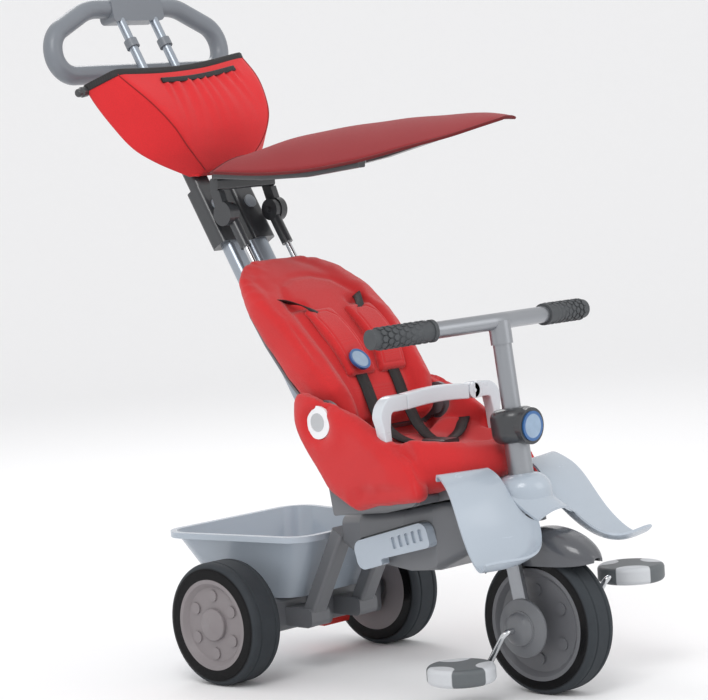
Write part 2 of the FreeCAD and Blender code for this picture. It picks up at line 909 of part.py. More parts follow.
def hub_cover(side):
    face = fork_leg_spacing / 2 + fork_leg_thickness / 2
    rim = hub_cover_radius
    room = crank_rod_radius + running_clearance
    outline = [(0, room), (0, rim), (hub_cover_rib, rim), (hub_cover_depth, rim / 2),
               (hub_cover_depth, room)]
    outline = [(side * (face + along), radius) for along, radius in outline]
    return lathe(outline, [0, 0, hub_cover_rib / 2, hub_cover_rib * 2, 0], front_hub)


def guard_loft(inset, extra):
    wires = []
    for place in range(len(guard_reaches)):
        centre = front_hub + Vector(guard_reaches[place], 0, 0)
        half = guard_widths[place] / 2 - inset
        low = guard_rims[place] - extra
        high = guard_crowns[place] - inset
        radius = min(half, guard_crowns[place] - guard_rims[place]) * 0.8
        points = [centre + Vector(0, a * half, h) for a, h in
                  ((-1, low), (1, low), (1, high), (-1, high))]
        wires.append(rounded_wire(points, [0, 0, radius, radius]))
    return loft(wires)


def mudguard():
    body = guard_loft(0, 0).cut(guard_loft(guard_wall, guard_wall))
    return body.cut(fork()).cut(stem())


# Front wheel, crank and pedals

def front_disc():
    half = front_wheel_width / 2
    face = half - disc_recess
    rim = front_disc_radius - disc_rim_width
    outline = [(-half, rim), (-half, front_disc_radius), (half, front_disc_radius), (half, rim),
               (face, rim - disc_recess), (face, crank_rod_radius), (-face, crank_rod_radius),
               (-face, rim - disc_recess)]
    body = lathe(outline, [0] * 8, front_hub)
    bosses = []
    for side in (-1, 1):
        bosses.extend(disc_bosses(front_hub, side * face, side, (rim + hub_radius) / 2))
    return joined([body] + bosses)


def pedal_hub(side):
    offset = crank_down * (-side * crank_arm)
    inner = crank_arm_spacing / 2 + pedal_gap
    return front_hub + offset + Vector(0, side * (inner + pedal_radius), 0)


def crank():
    half = crank_arm_spacing / 2
    tip = half + pedal_gap + 2 * pedal_radius - pedal_end_wall - face_clearance
    right = front_hub + crank_down * crank_arm
    left = front_hub - crank_down * crank_arm
    points = [right - along_y * tip, right - along_y * half, front_hub - along_y * half,
              front_hub + along_y * half, left + along_y * half, left + along_y * tip]
    bend = crank_bend
    return bent_tube(points, [0, bend, bend, bend, bend, 0], crank_rod_radius)


def pedal(side):
    hub = pedal_hub(side)
    half = pedal_thickness / 2
    points = [hub - along_z * half, hub + Vector(pedal_radius, 0, -half),
              hub + Vector(pedal_radius, 0, half), hub + along_z * half]
    face = Part.Face(rounded_wire(points, [0, pedal_edge, pedal_edge, 0]))
    body = face.revolve(hub, along_z, 360)
    inner = hub - along_y * (side * (pedal_radius + overrun))
    outer = hub + along_y * (side * (pedal_radius - pedal_end_wall))
    return body.cut(rod(inner, outer, crank_rod_radius + running_clearance))


# Footrest

def footrest_line(rear, front, side, rear_height, low_height, toe_height):
    start = Vector(wheelbase - rear[0], side * rear[1], 0)
    end = Vector(wheelbase - front[0], side * front[1], 0)
    run = end - start
    drop = rear_height - low_height
    shares = [(0.0, 1.0), (0.10, 0.965), (0.24, 0.85), (0.45, 0.50), (0.68, 0.14), (0.88, 0.0)]
    places = [start - run.normalize() * footrest_lip_drop / 2
              + along_z * (rear_height - footrest_lip_drop)]
    run = end - start
    for along_share, drop_share in shares:
        places.append(start + run * along_share + along_z * (low_height + drop * drop_share))
    places.append(start + run + along_z * toe_height)
    return places


def footrest_section(places):
    heading = (places[-1] - places[0])
    heading.z = 0
    heading.normalize()
    lower = []
    for place in range(len(places)):
        before = places[max(place - 1, 0)]
        after = places[min(place + 1, len(places) - 1)]
        run = (after - before).normalize()
        normal = Vector(0, 0, 0) + heading * (-run.z) + along_z * (run.dot(heading))
        lower.append(places[place] - normal * footrest_wall)
    top = Part.BSplineCurve()
    top.interpolate(places)
    bottom = Part.BSplineCurve()
    bottom.interpolate(lower)
    edges = [top.toShape(), Part.LineSegment(places[-1], lower[-1]).toShape(),
             bottom.toShape(), Part.LineSegment(lower[0], places[0]).toShape()]
    return Part.Wire(edges)


def footrest_wing(side):
    basin = footrest_basin_height
    toe = basin + footrest_toe_rise
    ridge = footrest_ridge_height
    top = footrest_rear_height
    lines = [footrest_line(footrest_inner_rear, footrest_inner_front, side, top, ridge, ridge),
             footrest_line(footrest_second_rear, footrest_second_front, side, top,
                           basin + footrest_toe_rise, toe + footrest_wall),
             footrest_line(footrest_third_rear, footrest_third_front, side, top, basin, toe),
             footrest_line(footrest_outer_rear, footrest_outer_front, side, top, basin, toe)]
    return loft([footrest_section(places) for places in lines])


def web_line(y, raise_by):
    front = wheelbase - (footrest_web_front if y == 0 else footrest_inner_front[0])
    rear = wheelbase - footrest_web_rear
    low = footrest_web_height if y == 0 else footrest_ridge_height
    rear_height = low + (front - rear) * 0.62
    start = Vector(rear, y, rear_height + raise_by)
    middle = Vector((rear + front) / 2, y, (rear_height + low) / 2 - footrest_wall / 2)
    return [start, middle + along_z * raise_by, Vector(front, y, low + raise_by)]


def footrest_web():
    half = footrest_inner_front[1] * 1.02
    wires = []
    for y in (-half, 0, half):
        top = web_line(y, 0)
        low = web_line(y, -footrest_wall)
        upper = Part.Arc(*top).toShape()
        lower = Part.Arc(*low).toShape()
        wires.append(Part.Wire([upper, Part.LineSegment(top[2], low[2]).toShape(), lower,
                                Part.LineSegment(low[0], top[0]).toShape()]))
    return loft(wires)


def cup_form(inset, top_inset):
    start = on_steering(cup_bottom)
    height = (on_steering(cup_top) - start).Length - top_inset
    radius = cup_radius - inset
    shoulder = cup_shoulder - inset
    points = [start, start + Vector(radius, 0, 0), start + Vector(radius, 0, height),
              start + Vector(0, 0, height)]
    face = Part.Face(rounded_wire(points, [0, 0, shoulder, 0]))
    form = face.revolve(start, along_z, 360)
    form.rotate(start, along_y, -head_tilt_degrees)
    return form


def footrest():
    body = joined([footrest_wing(1), footrest_wing(-1), footrest_web(), cup_form(0, 0)])
    inside = cup_form(cup_wall, cup_wall)
    below = rod(on_steering(cup_bottom - cup_radius), on_steering(cup_bottom),
                cup_radius - cup_wall)
    body = body.cut(inside).cut(below)
    column = rod(on_steering(cup_bottom - cup_radius), on_steering(ball_bottom), head_tube_radius)
    body = body.cut(column).cut(casing_loft(0, casing_widths[2]))
    back_cut = on_steering(cup_bottom)
    notch = Part.makeBox(cup_radius * 2, 2 * casing_boss_radius,
                         casing_boss_top - cup_bottom + cup_wall,
                         Vector(back_cut.x - cup_radius * 2, -casing_boss_radius, cup_bottom))
    return body.cut(notch)


# Push handle

def tube_oval(side, along, inset):
    half = (outer_tube_outer_edge - outer_tube_inner_edge) / 2
    middle = side * (outer_tube_outer_edge + outer_tube_inner_edge) / 2
    depth = outer_tube_depth / 2 - inset
    return band(on_handle(along, 0, middle), along_y, handle_front, half - inset, -depth, depth,
                depth * 0.9)


def outer_tube_solid(side):
    face = Part.Face(tube_oval(side, outer_tube_foot, 0))
    return face.extrude(handle_up * (outer_tube_top - outer_tube_foot))


def outer_tube(side):
    hollow = Part.Face(tube_oval(side, outer_tube_foot, outer_tube_wall))
    hollow = hollow.extrude(handle_up * (outer_tube_top - outer_tube_foot))
    return outer_tube_solid(side).cut(hollow)


def slide_tube(side):
    y = side * slide_tube_spacing / 2
    foot = lock_bottom - handle_travel - slide_tube_stay
    return rod(on_handle(foot, 0, y), on_handle(slide_tube_top, 0, y), slide_tube_radius)


def lock_housing(side):
    y = side * slide_tube_spacing / 2
    lower = band(on_handle(lock_bottom, 0, y), along_y, handle_front, lock_width / 2,
                 -lock_depth / 2, lock_depth / 2, lock_corner)
    block = Part.Face(lower).extrude(handle_up * (lock_top - lock_bottom))
    cap_low = band(on_handle(lock_top, 0, y), along_y, handle_front, lock_cap_width / 2,
                   -lock_cap_depth / 2, lock_cap_depth / 2, lock_corner)
    cap = Part.Face(cap_low).extrude(handle_up * lock_cap_length)
    body = joined([block, cap])
    bore = rod(on_handle(lock_bottom - overrun, 0, y),
               on_handle(lock_top + lock_cap_length + overrun, 0, y),
               slide_tube_radius + running_clearance)
    pocket = rod(on_handle(lock_button_place, lock_depth / 2 - lock_pocket_depth(), y),
                 on_handle(lock_button_place, lock_depth, y),
                 lock_button_radius + running_clearance)
    return body.cut(bore).cut(pocket)


def lock_pocket_depth():
    return lock_button_depth + lock_button_travel


def lock_button(side):
    y = side * slide_tube_spacing / 2
    front = lock_depth / 2
    return rod(on_handle(lock_button_place, front - lock_button_depth + face_clearance, y),
               on_handle(lock_button_place, front + lock_button_proud, y), lock_button_radius)


# Handle ring

def on_ring(y, up, front=0):
    rise = turned(along_z, -ring_lean_degrees)
    out = turned(Vector(1, 0, 0), -ring_lean_degrees)
    return Vector(ring_reach, y, ring_height) + rise * up + out * front


def handle_ring():
    corners = [(0, ring_lower_edge, 0), (ring_half_width, ring_lower_edge, ring_lower_bend),
               (ring_half_width, ring_side_edge, ring_side_bend),
               (ring_shoulder_half_width, ring_upper_edge, ring_upper_bend),
               (-ring_shoulder_half_width, ring_upper_edge, ring_upper_bend),
               (-ring_half_width, ring_side_edge, ring_side_bend),
               (-ring_half_width, ring_lower_edge, ring_lower_bend)]
    half = [on_ring(y, up) for y, up, bend in corners[:4]] + [on_ring(0, ring_upper_edge)]
    bends = [bend for y, up, bend in corners[:4]] + [0]
    left = bent_tube(half, bends, ring_tube_radius)
    body = joined([left, mirrored(left)])
    return body.cut(bridge_block()).cut(slide_tube(1)).cut(slide_tube(-1)).cut(ring_collars())


def bridge_block():
    half = bridge_thickness / 2
    wire = band(on_ring(0, bridge_lower, -half), along_y, turned(along_z, -ring_lean_degrees),
                bridge_half_width, 0, bridge_upper - bridge_lower, lock_corner)
    return Part.Face(wire).extrude(turned(Vector(1, 0, 0), -ring_lean_degrees) * (2 * half))


def ring_bridge():
    return bridge_block().cut(slide_tube(1)).cut(slide_tube(-1)).cut(ring_collars())


def ring_collars():
    collars = []
    for side in (-1, 1):
        y = side * slide_tube_spacing / 2
        low = slide_tube_top - ring_collar_drop
        collars.append(pipe(on_handle(low, 0, y), on_handle(low + ring_collar_length, 0, y),
                            ring_collar_radius, slide_tube_radius))
    return Part.makeCompound(collars)


# Storage bag

def bag_section(place, inset, raise_by):
    along = bag_station_heights[place] + raise_by
    half = bag_half_widths[place] - inset
    back = bag_back_depths[place] + inset
    front = bag_back_depths[place] + bag_depths[place] - inset
    corner = min(bag_corner, bag_depths[place] / 2.2) - inset
    centre = on_handle(along)
    spots = [(-half, back), (half, back), (half * bag_front_share, front),
             (-half * bag_front_share, front)]
    points = [centre + along_y * a + handle_front * b for a, b in spots]
    return rounded_wire(points, [corner / 3, corner / 3, corner, corner])


def bag_loft(inset, foot_lift, top_lift):
    last = len(bag_station_heights) - 1
    lifts = [foot_lift] + [0] * (last - 1) + [top_lift]
    return loft([bag_section(place, inset, lifts[place]) for place in range(last + 1)], True)


def bag():
    body = bag_loft(0, 0, 0).cut(bag_loft(bag_wall, bag_wall, overrun))
    mouth = on_handle(bag_station_heights[-2])
    mouth.z = bag_mouth_height
    size = bag_half_widths[-1] * 3
    above = Part.makeBox(size, size, size, mouth - Vector(size / 2, size / 2, 0))
    above.rotate(mouth, along_y, bag_mouth_slope_degrees)
    above.rotate(mouth, Vector(1, 0, 0), bag_sag_degrees)
    return body.cut(above)


# Seat base

def seat_base():
    inner = base_half_width - base_cheek
    top = base_front_bottom + base_thickness * 1.4
    pan = [(base_rear, base_rear_bottom), (base_middle_reach, base_middle_bottom),
           (base_front, base_front_bottom), (base_front, top),
           (base_middle_reach, base_middle_bottom + base_thickness),
           (base_rear, base_rear_bottom + base_thickness)]
    edge = base_thickness / 3
    narrow = casing_widths[3] / 2
    parts = [side_plate(pan, [edge, 0, edge, edge, 0, edge], -narrow, narrow)]
    wide_front = base_middle_bottom + base_thickness
    wide = [(base_rear, base_rear_bottom), (base_middle_reach, base_middle_bottom),
            (cheek_front, wide_front), (cheek_front, wide_front + base_thickness),
            (base_middle_reach, base_middle_bottom + base_thickness),
            (base_rear, base_rear_bottom + base_thickness)]
    parts.append(side_plate(wide, [edge, 0, edge, edge, 0, edge], -inner, inner))
    for side in (-1, 1):
        low = min(side * inner, side * base_half_width)
        cheek = [(base_rear, base_rear_bottom), (cheek_front, wide_front),
                 (cheek_front, cheek_front_height - base_thickness),
                 (recline_reach + recline_boss_radius, recline_height + recline_boss_radius / 2),
                 (cheek_rear, recline_height)]
        radii = [edge, base_thickness, base_thickness, 0, 0]
        parts.append(side_plate(cheek, radii, low, low + base_cheek))
        boss = recline_axis + Vector(0, low, 0)
        parts.append(rod(boss, boss + along_y * base_cheek, recline_boss_radius))
    body = joined(parts)
    reach = base_half_width + overrun
    body = body.cut(rod(recline_axis - along_y * reach, recline_axis + along_y * reach,
                        recline_pin_radius + running_clearance))
    return body.cut(casing_loft(0, casing_widths[2])).cut(bumper_leg(1)).cut(bumper_leg(-1))


def recline_disc(side):
    start = recline_axis + along_y * (side * base_half_width)
    end = start + along_y * (side * ring_disc_width)
    rim = rod(start, end, ring_disc_radius)
    floor_end = start + along_y * (side * (ring_disc_width - recline_button_length
                                           - recline_button_travel))
    return rim.cut(rod(floor_end, end, recline_button_radius + running_clearance))


def recline_button(side):
    end = recline_axis + along_y * (side * (base_half_width + ring_disc_width))
    start = end - along_y * (side * recline_button_length)
    return rod(start, end, recline_button_radius)


# Seat cushion

def seat_pad_outline(side_share):
    far = side_share * side_share
    front = seat_nose - seat_nose_bow * far
    rise = seat_bolster_rise * max(side_share - 0.6, 0) / 0.4
    top = base_middle_bottom + base_thickness + face_clearance
    slope = (base_front_bottom - base_middle_bottom) / (base_front - base_middle_reach)
    under = top + slope * (front - seat_lip_depth - base_middle_reach) + base_thickness * 0.4
    return [(seat_rear, base_rear_bottom + base_thickness + face_clearance),
            (base_middle_reach, top), (front - seat_lip_depth, under),
            (front, seat_under_nose_height), (front, seat_nose_height),
            (front - seat_lip_depth, seat_lip_height + seat_lip_rise * far),
            (seat_dip_reach - seat_nose_bow * far / 2, seat_dip_height + rise),
            (seat_rear, seat_rear_height + rise)]


def seat_pad():
    inner = base_half_width - base_cheek - face_clearance
    wires = []
    for share in (-1.0, -0.85, -0.6, 0.0, 0.6, 0.85, 1.0):
        outline = seat_pad_outline(abs(share))
        points = [Vector(x, share * inner, z) for x, z in outline]
        edge = hip_edge * 0.7
        radii = [edge, 0, 0, edge, edge, edge, edge, edge]
        wires.append(rounded_wire(points, radii))
    body = loft(wires, True)
    return body.cut(seat_base()).cut(bumper_leg(1)).cut(bumper_leg(-1))


def hip_outline():
    return [(hip_rear, hip_rear_height), (hip_rear, hip_rear_low),
            (hip_waist_reach, hip_waist_height), (hip_seat_reach, hip_seat_height),
            (hip_foot_reach, hip_foot_height), (hip_front_reach - hip_edge, hip_foot_height
            + hip_edge * 2), (hip_front_reach, hip_front_low),
            (hip_shoulder_reach, hip_shoulder_height), (hip_crest_reach, hip_crest_height),
            (recline_reach + recline_boss_radius * 2, recline_height + hip_edge)]


def hip_pad(side):
    edge = hip_edge
    radii = [edge, edge * 2, edge, edge * 2, edge * 2, edge, edge, edge, edge, edge]
    middle = Vector(recline_reach + hip_foot_reach, 0, recline_height + hip_foot_height) * 0.5
    start = base_half_width + face_clearance
    wires = []
    for y, grow in ((start, 0), (hip_half_width - hip_crown, 0), (hip_half_width, -hip_crown)):
        points = []
        for x, z in hip_outline():
            point = Vector(x, 0, z)
            outward = (point - middle).normalize()
            points.append(point + outward * grow + along_y * (side * y))
        wires.append(rounded_wire(points, radii))
    body = loft(wires, True)
    body = body.cut(recline_disc_room(side))
    return body.cut(bumper_leg(side))


def recline_disc_room(side):
    start = recline_axis + along_y * (side * base_half_width)
    end = start + along_y * (side * (ring_disc_width + overrun))
    return rod(start, end, ring_disc_radius)


def seat_cushion():
    return Part.makeCompound([seat_pad(), hip_pad(1), hip_pad(-1)])


# Backrest

def back_section(place):
    along = back_station_heights[place]
    half = back_half_widths[place]
    inset = back_inset_depths[place]
    top = back_depths[place]
    floor = back_hollow_depths[place]
    corner = min(back_corner, (top - inset) / 2.6)
    spots = [(-half, inset), (half, inset), (half, top - corner / 2),
             (half * back_rim_share, top), (half * back_floor_share, floor),
             (-half * back_floor_share, floor), (-half * back_rim_share, top),
             (-half, top - corner / 2)]
    points = [on_back(along, front, y) for y, front in spots]
    small = corner / 3
    return rounded_wire(points, [corner, corner, small, small, small, small, small, small])


def back_cushion():
    body = loft([back_section(place) for place in range(len(back_station_heights))], True)
    return body.cut(canopy_rods())


def back_shell():
    wires = []
    for place in range(len(back_station_heights)):
        half = back_half_widths[place] * shell_share
        inset = back_inset_depths[place] - face_clearance
        along = back_station_heights[place]
        points = [on_back(along, inset - shell_thickness, -half),
                  on_back(along, inset - shell_thickness, half),
                  on_back(along, inset, half), on_back(along, inset, -half)]
        wires.append(rounded_wire(points, [shell_thickness / 3] * 4))
    return wires


def shell_arm(side):
    outer = base_half_width - base_cheek - face_clearance
    inner = outer - shell_arm_thickness
    boss = recline_axis + along_y * (side * inner)
    arm = rod(boss, boss + along_y * (side * shell_arm_thickness), recline_pin_radius * 1.5)
    pin_end = recline_axis + along_y * (side * base_half_width)
    return joined([arm, rod(boss, pin_end, recline_pin_radius)])


def backrest_shell():
    body = loft(back_shell(), True)
    arms = [shell_arm(1), shell_arm(-1)]
    outer = base_half_width - base_cheek - face_clearance
    inner = outer - shell_arm_thickness
    deep = back_inset_depths[1] - face_clearance - shell_thickness
    spots = [on_back(back_station_heights[0], deep), on_back(back_station_heights[1], deep),
             on_back(back_station_heights[1], deep + shell_thickness),
             on_back(back_station_heights[0], deep + shell_thickness)]
    brace = [(spot.x, spot.z) for spot in spots]
    arms.append(side_plate(brace, [0] * 4, -outer, outer))
    low = spots[0]
    high = spots[1]
    for side in (-1, 1):
        outline = [(low.x, low.z), (high.x, high.z),
                   (recline_reach, recline_height + recline_pin_radius * 1.4),
                   (recline_reach, recline_height - recline_pin_radius * 1.4)]
        y = min(side * inner, side * outer)
        arms.append(side_plate(outline, [0] * 4, y, y + shell_arm_thickness))
    return joined([body] + arms).cut(canopy_rods())


# Harness

def shoulder_pad(side):
    wires = []
    for place in range(len(pad_station_heights)):
        along = pad_station_heights[place]
        low = pad_low_depths[place]
        centre = on_back(along, 0, side * pad_offset_widths[place])
        wires.append(band(centre, along_y, back_front, pad_width / 2, low,
                          low + pad_crown_heights[place], pad_crown_heights[place] / 2.6))
    return loft(wires).cut(back_cushion())


def strap_run(start, end):
    heading = end - start
    up = heading.cross(along_y).normalize()
    wire = band(start, along_y, up, strap_width / 2, 0, strap_thickness, strap_thickness / 3)
    return Part.Face(wire).extrude(heading)


def buckle_base():
    slope = (seat_dip_height - seat_rear_height) / (seat_dip_reach - seat_rear)
    rear_end = buckle_reach - buckle_length / 2
    return seat_rear_height + slope * (rear_end - seat_rear) + face_clearance


def harness():
    runs = []
    for side in (-1, 1):
        place = len(pad_station_heights) - 1
        start = on_back(pad_station_heights[place] - strap_thickness, pad_low_depths[place] + strap_thickness,
                        side * pad_offset_widths[place])
        end = Vector(buckle_reach - buckle_length / 2, side * strap_width * 0.55,
                     buckle_base() + buckle_thickness / 2)
        runs.append(strap_run(start, end).cut(buckle()))
    return Part.makeCompound(runs)


def buckle():
    wire = band(Vector(buckle_reach - buckle_length / 2, 0, buckle_base()), along_y, along_z,
                buckle_width / 2, 0, buckle_thickness, buckle_thickness / 3)
    return Part.Face(wire).extrude(Vector(buckle_length, 0, 0))


# Bumper bar

def bumper_leg_middle():
    return bumper_spacing / 2


def bumper_leg(side):
    y = side * bumper_leg_middle()
    foot = Vector(bumper_leg_foot_reach, y, bumper_leg_foot_height)
    top = Vector(bumper_reach, y, bumper_height)
    lower = band(foot, along_y, Vector(1, 0, 0), bumper_leg_width / 2, -bumper_bar_depth / 2,
                 bumper_bar_depth / 2, bumper_bar_depth / 5)
    upper = band(top, along_y, Vector(1, 0, 0), bumper_leg_width / 2, -bumper_bar_depth / 2,
                 bumper_bar_depth / 2, bumper_bar_depth / 5)
    return loft([lower, upper], True)


def bumper_beam(start_y, end_y):
    centre = Vector(bumper_reach, start_y, bumper_height)
    half = bumper_bar_height / 2
    wire = band(centre, Vector(1, 0, 0), along_z, bumper_bar_depth / 2, -half, half,
                bumper_bar_depth / 5)
    return Part.Face(wire).extrude(Vector(0, end_y - start_y, 0))


def bumper_pin(radius):
    centre = Vector(bumper_reach, bumper_hinge_offset, bumper_height)
    reach = Vector(bumper_bar_depth / 2, 0, 0)
    return rod(centre - reach, centre + reach, radius)


def bumper_knuckle(radius, half_depth):
    centre = Vector(bumper_reach, bumper_hinge_offset, bumper_height)
    reach = Vector(half_depth, 0, 0)
    return rod(centre - reach, centre + reach, radius)


def bumper_bracket(side):
    outer = bumper_leg_middle() + bumper_leg_width / 2
    inner = bumper_hinge_offset
    half = bumper_bar_height / 2
    beam = bumper_beam(side * inner, side * outer)
    body = joined([beam, bumper_leg(side)])
    if side > 0:
        body = joined([body, bumper_knuckle(half, bumper_bar_depth / 2)])
        slot = Part.makeBox(bumper_tongue + 2 * bumper_gap, 2 * half + 2 * bumper_gap,
                            bumper_bar_height * 2,
                            Vector(bumper_reach - bumper_tongue / 2 - bumper_gap,
                                   inner - half - bumper_gap, bumper_height - bumper_bar_height))
        body = body.cut(slot).cut(bumper_pin(bumper_pin_radius))
    return body


def bumper_bar():
    half = bumper_bar_height / 2
    clear = half + bumper_gap
    beam = bumper_beam(-bumper_hinge_offset + bumper_gap, bumper_hinge_offset - clear)
    tongue = bumper_knuckle(half, bumper_tongue / 2)
    neck = Part.makeBox(bumper_tongue, clear, bumper_bar_height,
                        Vector(bumper_reach - bumper_tongue / 2, bumper_hinge_offset - clear,
                               bumper_height - half))
    return joined([beam, tongue, neck]).cut(bumper_pin(bumper_pin_radius + running_clearance))


# Canopy

def canopy_side(side):
    return Vector(0, side * canopy_spacing / 2, 0)


def canopy_rod(side, radius):
    foot = Vector(canopy_rod_foot_reach, 0, canopy_rod_foot_height)
    heading = (canopy_axis - foot).normalize()
    top = canopy_axis - heading * knuckle_radius
    return rod(foot + canopy_side(side), top + canopy_side(side), radius)


def canopy_rods():
    return Part.makeCompound([canopy_rod(1, canopy_rod_radius), canopy_rod(-1, canopy_rod_radius)])


def canopy_sleeve(side):
    foot = Vector(canopy_rod_foot_reach, 0, canopy_rod_foot_height)
    heading = (canopy_axis - foot).normalize()
    low = canopy_axis - heading * sleeve_length + canopy_side(side)
    knuckle = canopy_axis + canopy_side(side) - along_y * (knuckle_width / 2)
    body = joined([rod(low, canopy_axis + canopy_side(side), sleeve_radius),
                   rod(knuckle, knuckle + along_y * knuckle_width, knuckle_radius)])
    keep = Part.makeBox(4 * sleeve_length, knuckle_width, 4 * sleeve_length,
                        canopy_axis + canopy_side(side) - Vector(2 * sleeve_length,
                                                                 knuckle_width / 2,
                                                                 2 * sleeve_length))
    near_top = rod(canopy_axis - along_y * canopy_spacing, canopy_axis + along_y * canopy_spacing,
                   canopy_disc_radius + face_clearance)
    body = body.cut(near_top.cut(keep))
    pin = rod(canopy_axis - along_y * canopy_spacing, canopy_axis + along_y * canopy_spacing,
              knuckle_pin_radius + running_clearance)
    return body.cut(canopy_rod(side, canopy_rod_radius)).cut(pin)


def canopy_joint(side):
    inner = canopy_spacing / 2 + knuckle_width / 2 + face_clearance
    start = canopy_axis + along_y * (side * inner)
    disc = rod(start, start + along_y * (side * canopy_disc_width), canopy_disc_radius)
    pin = rod(canopy_axis + along_y * (side * (canopy_spacing / 2 - knuckle_width)),
              start, knuckle_pin_radius)
    outline = [(canopy_pivot_reach - neck_width / 2, canopy_pivot_height),
               (canopy_pivot_reach + neck_width / 2, canopy_pivot_height),
               (neck_reach + neck_width / 2, neck_height), (neck_reach - neck_width / 2,
                                                           neck_height)]
    low = min(side * inner, side * (inner + canopy_disc_width))
    neck = side_plate(outline, [0] * 4, low, low + canopy_disc_width)
    return joined([disc, neck, pin])


def canopy_crossbar():
    outer = canopy_spacing / 2 + knuckle_width / 2 + face_clearance + canopy_disc_width
    outline = [(neck_reach - crossbar_depth / 2, neck_height),
               (neck_reach + crossbar_depth / 2, neck_height),
               (neck_reach + crossbar_depth / 2, neck_height + crossbar_height),
               (neck_reach - crossbar_depth / 2, neck_height + crossbar_height)]
    return side_plate(outline, [crossbar_height / 4] * 4, -outer, outer)


def canopy_wires():
    wires = []
    for place in range(len(canopy_reaches)):
        half = canopy_half_widths[place]
        far_edge = canopy_edges[place] + canopy_far_rises[place]
        edge = Vector(canopy_reaches[place], half, far_edge)
        other = Vector(canopy_reaches[place], -half, canopy_edges[place])
        ridge = Vector(canopy_reaches[place], 0, canopy_ridges[place])
        down = Vector(0, 0, -canopy_thickness)
        upper = Part.Arc(edge, ridge, other).toShape()
        lower = Part.Arc(other + down, ridge + down, edge + down).toShape()
        wires.append(Part.Wire([upper, Part.LineSegment(other, other + down).toShape(), lower,
                                Part.LineSegment(edge + down, edge).toShape()]))
    return wires


def canopy():
    return loft(canopy_wires())


def fan_corner(reach, y):
    share = (reach - neck_reach) / (fan_front_reach - neck_reach)
    return Vector(reach, y, fan_rear_height + (fan_front_height - fan_rear_height) * share)


def fan_arm(side):
    wires = []
    for place in range(4):
        half = canopy_half_widths[place] - fan_arm_inset - fan_arm_width / 2
        edge = canopy_edges[place] + (canopy_far_rises[place] if side > 0 else 0)
        centre = Vector(canopy_reaches[place], side * half, edge - canopy_thickness)
        wires.append(band(centre, along_y, along_z, fan_arm_width / 2, -fan_arm_thickness,
                          fan_arm_thickness / 5, fan_arm_thickness / 3))
    return loft(wires, True)


def canopy_frame():
    rear = canopy_reaches[0]
    back_half = fan_rear_width * 0.4
    spots = [fan_corner(neck_reach, -back_half), fan_corner(rear, -fan_rear_width / 2),
             fan_corner(fan_front_reach, -fan_front_width / 2),
             fan_corner(fan_front_reach, fan_front_width / 2),
             fan_corner(rear, fan_rear_width / 2), fan_corner(neck_reach, back_half)]
    edge = fan_front_width / 3
    fan = plate(spots, [edge] * 6, along_z * fan_thickness)
    body = joined([canopy_crossbar(), fan, fan_arm(1), fan_arm(-1)])
    under = body.cut(canopy()).Solids
    return max(under, key=lambda solid: solid.Volume)


# All the pieces by name

def build():
    chassis = casing()
    pieces = {
        "chassis_upper": chassis.common(seam_half(True)),
        "chassis_lower": chassis.common(seam_half(False)),
        "head_tube": head_tube(),
        "steering_ball": steering_ball(),
        "steering_button": steering_button(),
        "axle_housing": housing(),
        "rear_legs": rear_legs(),
        "rear_axle": rear_axle(),
        "brake_pin": brake_pin(brake_pin_radius),
        "brake_pedal": brake_pedal(),
        "tub": tub(),
        "seat_base": seat_base(),
        "seat_cushion": seat_cushion(),
        "footrest": footrest(),
        "stem": stem(),
        "fork": fork(),
        "mudguard": mudguard(),
        "handlebar": handlebar(),
        "front_tyre": tyre(front_hub, front_wheel_radius, front_wheel_width, front_disc_radius),
        "front_disc": front_disc(),
        "crank": crank(),
        "handle_ring": handle_ring(),
        "ring_bridge": ring_bridge(),
        "ring_collars": ring_collars(),
        "bag": bag(),
        "backrest_shell": backrest_shell(),
        "backrest_cushion": back_cushion(),
        "harness": harness(),
        "buckle": buckle(),
        "bumper_bar": bumper_bar(),
        "bumper_pin": bumper_pin(bumper_pin_radius),
        "canopy_rods": canopy_rods(),
        "canopy_frame": canopy_frame(),
        "canopy": canopy(),
    }
    for side, word in ((1, "left"), (-1, "right")):
        wheel = rear_hub + Vector(0, side * rear_track / 2, 0)
        pieces["rear_tyre_" + word] = tyre(wheel, rear_wheel_radius, rear_wheel_width,
                                           rear_disc_radius)
        pieces["rear_disc_" + word] = rear_disc(side)
        pieces["rear_cap_" + word] = rear_cap(side)
        pieces["seat_lever_" + word] = seat_lever(side)
        pieces["pedal_" + word] = pedal(side)
        pieces["lock_button_" + word] = lock_button(side)
        pieces["recline_button_" + word] = recline_button(side)
        pieces["bumper_bracket_" + word] = bumper_bracket(side)
    pairs = {"grips": grip, "hub_covers": hub_cover, "outer_tubes": outer_tube,
             "slide_tubes": slide_tube, "lock_housings": lock_housing,
             "recline_discs": recline_disc, "shoulder_pads": shoulder_pad,
             "canopy_sleeves": canopy_sleeve, "canopy_joints": canopy_joint}
    for name, make in pairs.items():
        pieces[name] = Part.makeCompound([make(1), make(-1)])
    return pieces


def export():
    pieces = build()
    whole = Part.makeCompound(list(pieces.values())).optimalBoundingBox(False, False)
    home = Vector(-(whole.XMin + whole.XMax) / 2, 0, 0)
    os.makedirs("parts", exist_ok=True)
    for name, shape in pieces.items():
        placed = shape.copy()
        placed.translate(home)
        placed.exportStep("parts/" + name + ".step")
    return pieces, home


if __name__ == "__main__":
    export()
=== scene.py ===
import bpy
import math
from mathutils import Matrix, Vector


